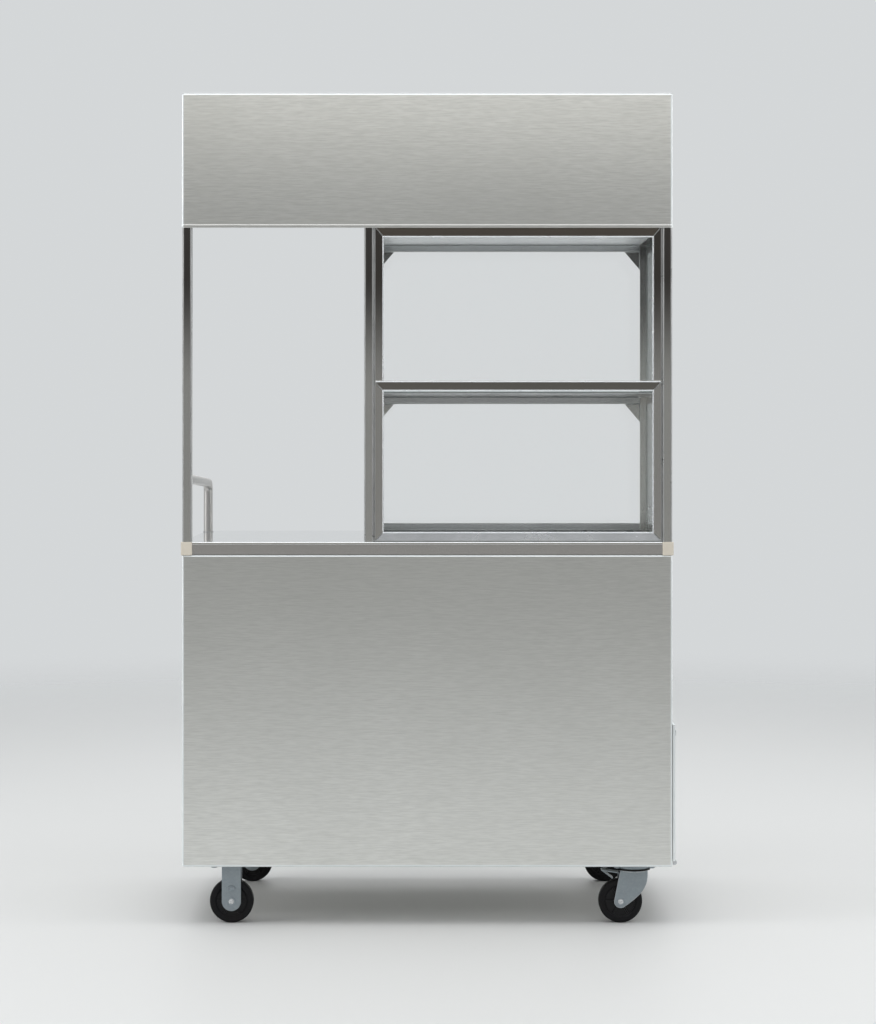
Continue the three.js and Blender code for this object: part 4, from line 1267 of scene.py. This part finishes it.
# axle: a low domed head in front, a threaded end with its nut at the back
def axlePiece(node, x, y):
    mesh = bmesh.new()
    centre = (x, y, caster["radius"])
    half = caster["forkHalf"]
    head = [
        (0, -half - 2.5), (1.4, -half - 2.4), (2.6, -half - 2.0), (3.4, -half - 1.4),
        (3.7, -half - 1.0), (5.0, -half - 0.9), (5.6, -half - 0.5), (5.6, -half - 0.05),
        (4.0, -half - 0.05), (4.0, half + 6), (3.2, half + 6.0), (0, half + 6.0),
    ]
    nut = [
        (4.1, half + 0.3), (7.3, half + 0.3), (7.4, half + 0.8), (7.4, half + 5.0),
        (6.4, half + 5.7), (4.1, half + 5.7),
    ]
    turned(mesh, "Y", head, centre, segments=32)
    turned(mesh, "Y", nut, centre, segments=6)
    finishPiece(
        node + "_turned", mesh, [brightZinc], nodes[node]["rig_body"], "zinc_caster", (node,),
        smooth=30,
    )


# a dimple's section from its rim inward, as shares of its half width and of its rise
dimpleRows = (
    (1.0, -0.3), (0.96, 0.5), (0.88, 0.9), (0.74, 1.0), (0.6, 0.9), (0.48, 0.35), (0.05, 0.2),
)


# a pressed dimple: a shallow dome with a rolled rim on the face of a leg
def dimple(mesh, centre, facing, width, height, rise, steps=28):
    x, y, z = centre
    rings = []
    for share, lift in dimpleRows:
        ring = []
        for i in range(steps):
            turn = math.tau * i / steps
            ring.append((
                x + math.cos(turn) * width / 2 * share,
                y + facing * rise * lift,
                z + math.sin(turn) * height / 2 * share,
            ))
        rings.append(ring)
    loft(mesh, rings)


def rigidForkDetail(x, y):
    def add(mesh):
        for facing in (-1, 1):
            face = y + facing * caster["forkHalf"]
            dimple(mesh, (x, face, dimples["legHeight"]), facing, *dimples["leg"])
            dimple(mesh, (x, face, caster["radius"]), facing, *dimples["rigidAxle"])
    return add


# the swivel fork's leg, as (across, up) from the axle: a straight front, a long curve behind
swivelLeg = [
    (-1, 63.8), (55.5, 63.8), (55.4, 52), (54.4, 43), (52, 34.5), (48, 26.2), (42.4, 18.2),
    (35.4, 10.8), (27.4, 3.8), (18.8, -3.0),
]
swivelLeg += arcPoints((0, 0), 13.5, -48, -190, 14)
# its turned parts as (radius, height), and the bridge that joins its legs
swivelTop = {
    "ring": [(6.2, 105.8), (29.4, 105.8), (30, 106.4), (30, 108.2), (29.4, 108.8), (6.2, 108.8)],
    "rivet": [(0, 103.4), (6.6, 103.4), (8.6, 104.2), (9.4, 106), (6, 106.5), (0, 106.5)],
    "rivetSteps": 24,
    "bridge": (-1, 55.5),
    "bridgeHalf": 16.6,
    "bridgeHeights": (105.9, 108.7),
    "legWall": 2.5,
    "legRound": 0.9,
}


def swivelFork(node, axisX, y):
    x = axisX - caster["trail"]
    z = caster["radius"]
    mesh = bmesh.new()
    for facing in (-1, 1):
        depths = [y + facing * (caster["forkHalf"] - gap) for gap in (swivelTop["legWall"], 0)]
        loft(mesh, [[(x + across, depth, z + up) for across, up in swivelLeg] for depth in depths])
    roundEdges(mesh, hardEdges(mesh, 30), swivelTop["legRound"])
    turned(mesh, "Z", swivelTop["ring"], (axisX, y, 0))
    turned(mesh, "Z", swivelTop["rivet"], (axisX, y, 0), swivelTop["rivetSteps"])
    bridge, half = swivelTop["bridge"], swivelTop["bridgeHalf"]
    addBox(mesh, (x + bridge[0], x + bridge[1]), (y - half, y + half), swivelTop["bridgeHeights"])
    for face in mesh.faces:
        face.material_index = askew(face)
    for facing in (-1, 1):
        dimple(mesh, (x, y + facing * caster["forkHalf"], z), facing, *dimples["swivelAxle"])
    finishPiece(
        node + "_pressed", mesh, [zinc, zincEdgeHighlight], nodes[node]["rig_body"], "zinc_caster", (node,),
    )


# the four bolts of a caster's plate
def boltSpots(x, y, depth):
    reachX = caster["plate"] / 2 - caster["boltInset"]
    reachY = depth / 2 - caster["boltInset"]
    z = caster["plateBottom"]
    return [(x + dx, y + dy, z) for dx in (-reachX, reachX) for dy in (-reachY, reachY)]


places = []
for place, (x, y) in zip(("front", "rear"), caster["rigid"]):
    detail = rigidForkDetail(x, y)
    softened("rigid_fork_" + place, [zinc, zincEdgeHighlight], 0.9, "zinc_caster", extra=detail)
    axlePiece("rigid_axle_" + place, x, y)
    wheelPiece("wheel_" + place + "_left", x, y)
    places += boltSpots(x, y, caster["rigidPlate"])
for place, (axisX, y) in zip(("front", "rear"), caster["swivelAxis"]):
    x = axisX - caster["trail"]
    softened("swivel_plate_" + place, [zinc], 0.5, "zinc_caster")
    softened("bearing_ring_" + place, [blackPlastic], 0.3, "black_plastic")
    swivelFork("swivel_fork_" + place, axisX, y)
    softened("brake_pedal_" + place, [zinc, zincEdgeHighlight], 0.5, "zinc_caster")
    axlePiece("swivel_axle_" + place, x, y)
    wheelPiece("wheel_" + place + "_right", x, y)
    places += boltSpots(axisX, y, caster["swivelPlate"])
bolt = {"head": 6.6, "height": 2.8, "washer": 8.2, "washerWall": 0.9}
boltMesh = grown(bolts, [[place] for place in places], [(0, 0, -1)] * len(places), {
    "Head radius": bolt["head"] * mm, "Head height": bolt["height"] * mm,
    "Washer radius": bolt["washer"] * mm, "Washer wall": bolt["washerWall"] * mm,
}, zinc)
finishPiece("caster_bolts", boltMesh, [zinc], "cart_body", "zinc_caster", smooth=30)
print("stage: casters made")

# rivets: along the sheets' edges at a wide pitch, and three on each leaf of a hinge

sheetRivets = {
    "pitch": 112,
    "radius": 3.2,
    "face": 501,
    "span": (-270, 290),
    "heights": (1672, 740),
    "leftLow": 132,
    "back": (480, 301, 1690),
    "hatch": (506, 280, 141),
}
leafRivets = {
    "pitch": 18,
    "radius": 3,
    "face": 301.5,
    "doorLeaf": 468.4,
    "postLeaf": 493,
    "hinges": (234, 667),
}


def rivetPiece(name, body, rows, size):
    rowMesh = grown(rivets, [row for row, _ in rows], [way for _, way in rows], {
        "Pitch": size["pitch"] * mm, "Head radius": size["radius"] * mm,
        "Dome share": rivetShape["domeShare"],
    }, mirrorSteel)
    finishPiece(name, rowMesh, [mirrorSteel], body, "polished_plate", smooth=50)


# a row is the two ends of its line and the direction that its rivets face
x, y, z = sheetRivets["back"]
sheetRows = [(((-x, y, z), (x, y, z)), (0, 1, 0))]
low, high = sheetRivets["span"]
levels = [(side, z) for side in (-1, 1) for z in sheetRivets["heights"]]
for side, z in levels + [(-1, sheetRivets["leftLow"])]:
    x = side * sheetRivets["face"]
    sheetRows.append((((x, low, z), (x, high, z)), (side, 0, 0)))
rivetPiece("rivets_sheets", "cart_body", sheetRows, sheetRivets)
x, y, z = sheetRivets["hatch"]
hatchRow = [(((x, -y, z), (x, y, z)), (1, 0, 0))]
rivetPiece("rivets_hatch", nodes["side_hatch"]["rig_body"], hatchRow, sheetRivets)
fixedRows = []
reach, y = leafRivets["pitch"], leafRivets["face"]
for side, door in ((-1, "rear_door_left"), (1, "rear_door_right")):
    doorRows = []
    for z in leafRivets["hinges"]:
        for rows, leaf in ((doorRows, leafRivets["doorLeaf"]), (fixedRows, leafRivets["postLeaf"])):
            x = side * leaf
            rows.append((((x, y, z - reach), (x, y, z + reach)), (0, 1, 0)))
    rivetPiece("rivets_" + door, nodes[door]["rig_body"], doorRows, leafRivets)
rivetPiece("rivets_post_leaves", "cart_body", fixedRows, leafRivets)

# welds: ripples in the corners where tubes, gussets and the hand rail meet

weld = {
    "pitch": 1.4,
    "radius": 1.1,
    "gussetY": 287,
    "gussetAlong": (2, 32),
    "gussetDown": (2, 37),
    "inset": 0.5,
    "postFaces": (-480, -129, -109, 480),
    "postY": -279.5,
    "postHeights": (783, 760),
    "railRing": 10.4,
    "railHeight": 784.6,
    "railSteps": 24,
    "railEdge": -500.6,
}
weldLines = []
inset, y = weld["inset"], weld["gussetY"]
for x, away in zip(cart["case"], (1, -1)):
    for z in rearRails:
        start, end = weld["gussetAlong"]
        weldLines.append([(x + away * start, y, z - inset), (x + away * end, y, z - inset)])
        start, end = weld["gussetDown"]
        weldLines.append([(x + away * inset, y, z - start), (x + away * inset, y, z - end)])
for x in weld["postFaces"]:
    weldLines.append([(x, weld["postY"], z) for z in weld["postHeights"]])
turns = [math.tau * i / weld["railSteps"] for i in range(weld["railSteps"] + 1)]
ring, (bendY, _) = weld["railRing"], rail["bend"]
foot = [
    (rail["x"] + math.cos(t) * ring, bendY + math.sin(t) * ring, weld["railHeight"]) for t in turns
]
weldLines.append([point for point in foot if point[0] > weld["railEdge"]])
weldMesh = grown(welds, weldLines, [(0, 0, 1)] * len(weldLines), {
    "Pitch": weld["pitch"] * mm, "Ripple radius": weld["radius"] * mm,
}, tubeEdge)
finishPiece("tube_welds", weldMesh, [tubeEdge], "cart_body", "frame_tube", smooth=60)
print("stage: rivets and welds placed")

# plain sheets, tubes and trim: softened copies of the solids

tubeFinish = [uprightTube, tubeEdge]
crossFinish = [crossTube, tubeEdge]
rearFinish = [rearRail, tubeEdge, uprightAngle]
counterFinish = [mirrorSteel, foldHighlight, crossTube]


# which faces get which finish: a face counts as level, upright or steep by its normal
faceRules = {"along": 0.9, "upright": 0.2, "steep": 0.5, "gusset": (44, 0.2), "onEdge": 0.0001}


# the gussets under the rear rails get the darker angle finish: painted shade under the rails
def gussetShade(face):
    height = face.calc_center_median().z / mm
    deep, gap = faceRules["gusset"]
    below = any(bottom - deep < height < bottom - gap for bottom in rearRails)
    return 2 if below and abs(face.normal.z) < faceRules["steep"] else askew(face)


# the fold along the counter's outer edge is wider than its other edges
def counterFold(edge):
    low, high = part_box("counter_top")
    near = faceRules["onEdge"]
    outside = 0
    for corner in edge.verts:
        atEdge = min(corner.co.x - low.x, high.x - corner.co.x, corner.co.y - low.y) < near
        outside += atEdge and high.z - corner.co.z < near
    return outside == 2


# the hatch keeps its main finish on its broad faces only; its edges get the bright fold finish, a
# painted highlight
def hatchEdgesHighlighted(face):
    return 0 if abs(face.normal.x) > faceRules["along"] else 1


# the counter is polished on top, its lip is brushed, and the fold between them gets the bright fold
# finish, a painted highlight
def lipBrushed(face):
    level = abs(face.normal.z)
    return 0 if level > faceRules["along"] else 2 if level < faceRules["upright"] else 1


# for each solid: its finishes, the width of its edges, its slot, and any rule of its own
soften = {
    "hood_shell": ([sideSheet, foldHighlight], 0.4, "sheet_panel"),
    "roof_top": ([levelSheet, foldHighlight], 0.4, "sheet_panel"),
    "left_side_panel": ([sideSheet, foldHighlight], 0.4, "sheet_panel"),
    "right_side_panel": ([sideSheet, foldHighlight], 0.4, "sheet_panel"),
    "floor_pan": ([levelSheet, foldHighlight], 0.4, "sheet_panel"),
    "cabinet_shelf": ([levelSheet, foldHighlight], 0.4, "sheet_panel"),
    "rear_door_left": ([brushedSheet, foldHighlight], 0.45, "sheet_panel"),
    "rear_door_right": ([brushedSheet, foldHighlight], 0.45, "sheet_panel"),
    "side_hatch": ([sideSheet, foldHighlight], 0.45, "sheet_panel", hatchEdgesHighlighted),
    "counter_top": (counterFinish, 0.45, "polished_plate", lipBrushed, (counterFold, 2.2)),
    "case_shelf": ([mirrorSteel, foldHighlight], 0.4, "polished_plate"),
    "case_ceiling": ([ceilingLit], 0.4, "polished_plate"),
    "rear_door_left_handle": ([mirrorSteel], 1.4, "polished_plate"),
    "rear_door_right_handle": ([mirrorSteel], 1.4, "polished_plate"),
    "side_hatch_handle": ([mirrorSteel], 1.4, "polished_plate"),
    "base_frame": (crossFinish, 0.8, "frame_tube"),
    "counter_frame": (crossFinish, 0.8, "frame_tube"),
    "roof_frame": (crossFinish, 0.8, "frame_tube"),
    "case_top_rail": (rearFinish, 0.25, "frame_tube", gussetShade),
    "case_middle_rail": (rearFinish, 0.25, "frame_tube", gussetShade),
    "case_bottom_rail": (rearFinish, 0.25, "frame_tube"),
    "post_rear_left": (tubeFinish, 0.25, "frame_tube"),
    "post_rear_right": ([rearPostLit, postCornerHighlight], 0.25, "frame_tube"),
    "corner_cap_left": ([creamPlastic], 0.8, "cream_cap"),
    "corner_cap_right": ([creamPlastic], 0.8, "cream_cap"),
    "side_hatch_hinge": ([brightZinc], 0.25, "zinc_caster"),
    "door_catch": ([blackPlastic], 0.6, "black_plastic"),
}
for pane in ("front_glass_upper", "front_glass_lower", "left_glass", "right_glass"):
    soften[pane] = ([paneGlass, paneEdge], 0.6, "clear_pane")
for node, (materials, width, slot, *rule) in soften.items():
    softened(node, materials, width, slot, *rule)
for node in ("front_left", "front_right", "middle_front", "middle_rear"):
    squareTube("post_" + node, tubeFinish)
print("stage: solids softened")

# studio: floor, lights and camera at the photograph's angle

studio = {
    "floor": (0.72, 0.72, 0.71),
    "floorReach": 9.0,
    "floorSides": 96,
    "fade": (2.6, 6.5),
    "floorRoughness": 0.55,
    "backdrop": (0.66, 0.68, 0.69),
    "sky": (0.56, 0.58, 0.60),
    "horizon": (0.25, 0.25, 0.25),
    "ground": (0.40, 0.40, 0.40),
    "skyFrom": (0.06, 0.5),
    "groundFrom": (-0.12, -0.02),
    "backFrom": (0.05, 0.35),
    "eye": (0, -5750, 1018.6),
    "sensor": 36,
    "lens": 93.92,
    "shift": (0.0105, -0.083),
}


# a flat round floor that fades into the backdrop
def studioFloor(spec):
    mesh = bmesh.new()
    reach, sides = spec["floorReach"], spec["floorSides"]
    bmesh.ops.create_circle(mesh, cap_ends=True, radius=reach, segments=sides)
    data = bpy.data.meshes.new("studio_floor")
    mesh.to_mesh(data)
    mesh.free()
    material, tree, shader = newMaterial("studio floor")
    shader.inputs["Base Color"].default_value = (*spec["floor"], 1)
    shader.inputs["Roughness"].default_value = spec["floorRoughness"]
    where = tree.nodes.new("ShaderNodeTexCoord")
    length = tree.nodes.new("ShaderNodeVectorMath")
    length.operation = "LENGTH"
    tree.links.new(where.outputs["Object"], length.inputs[0])
    solid = remap(tree, length.outputs["Value"], 1, 0, *spec["fade"], True)
    tree.links.new(solid, shader.inputs["Alpha"])
    data.materials.append(material)
    floor = bpy.data.objects.new("studio_floor", data)
    bpy.context.scene.collection.objects.link(floor)


# the room is darker at eye level in front of the cart, and plain behind it and for the camera
def studioAir(spec):
    world = bpy.data.worlds.new("studio air")
    bpy.context.scene.world = world
    world.use_nodes = True
    tree = world.node_tree
    air = tree.nodes["Background"]
    way = tree.nodes.new("ShaderNodeTexCoord")
    split = tree.nodes.new("ShaderNodeSeparateXYZ")
    tree.links.new(way.outputs["Generated"], split.inputs["Vector"])
    above = remap(tree, split.outputs["Z"], 0, 1, *spec["skyFrom"], True)
    below = remap(tree, split.outputs["Z"], 1, 0, *spec["groundFrom"], True)
    upper = blendColours(tree, above, spec["horizon"], spec["sky"])
    room = blendColours(tree, below, upper, spec["ground"])
    behind = remap(tree, split.outputs["Y"], 0, 1, *spec["backFrom"], True)
    around = blendColours(tree, behind, room, spec["backdrop"])
    path = tree.nodes.new("ShaderNodeLightPath")
    seen = blendColours(tree, path.outputs["Is Camera Ray"], around, spec["backdrop"])
    tree.links.new(seen, air.inputs["Color"])


# place and aim in metres, width and height in metres, power in watts
softboxes = {
    "top": ((0, -0.4, 3.8), (0, 0, 0.6), (3.8, 3.4), 70),
    "front_high": ((0.3, -4.8, 3.6), (0, 0, 1.2), (4.5, 1.6), 32),
    "left": ((-3.8, -1.2, 1.9), (0, 0, 0.9), (1.2, 2.8), 36),
    "right": ((4.0, -0.8, 1.9), (0, 0, 0.9), (1.0, 2.8), 30),
    "back": ((0.4, 4.2, 3.2), (0, 0, 0.9), (3.4, 1.4), 26),
}


def softbox(name, where, towards, size, power):
    light = bpy.data.lights.new(name, "AREA")
    light.shape = "RECTANGLE"
    light.size, light.size_y = size
    light.energy = power
    lamp = bpy.data.objects.new(name, light)
    lamp.location = where
    lamp.rotation_euler = (Vector(towards) - Vector(where)).to_track_quat("-Z", "Y").to_euler()
    bpy.context.scene.collection.objects.link(lamp)


studioFloor(studio)
studioAir(studio)
for place, settings in softboxes.items():
    softbox("softbox_" + place, *settings)

camera = bpy.data.objects.new("camera", bpy.data.cameras.new("camera"))
camera.data.sensor_fit = "VERTICAL"
camera.data.sensor_height = studio["sensor"]
camera.data.lens = studio["lens"]
camera.data.shift_x, camera.data.shift_y = studio["shift"]
camera.location = Vector(studio["eye"]) * mm + middle
camera.rotation_euler = (math.radians(90), 0, 0)
bpy.context.scene.collection.objects.link(camera)
bpy.context.scene.camera = camera
bpy.context.scene.view_settings.view_transform = "Standard"
print("stage: studio set")
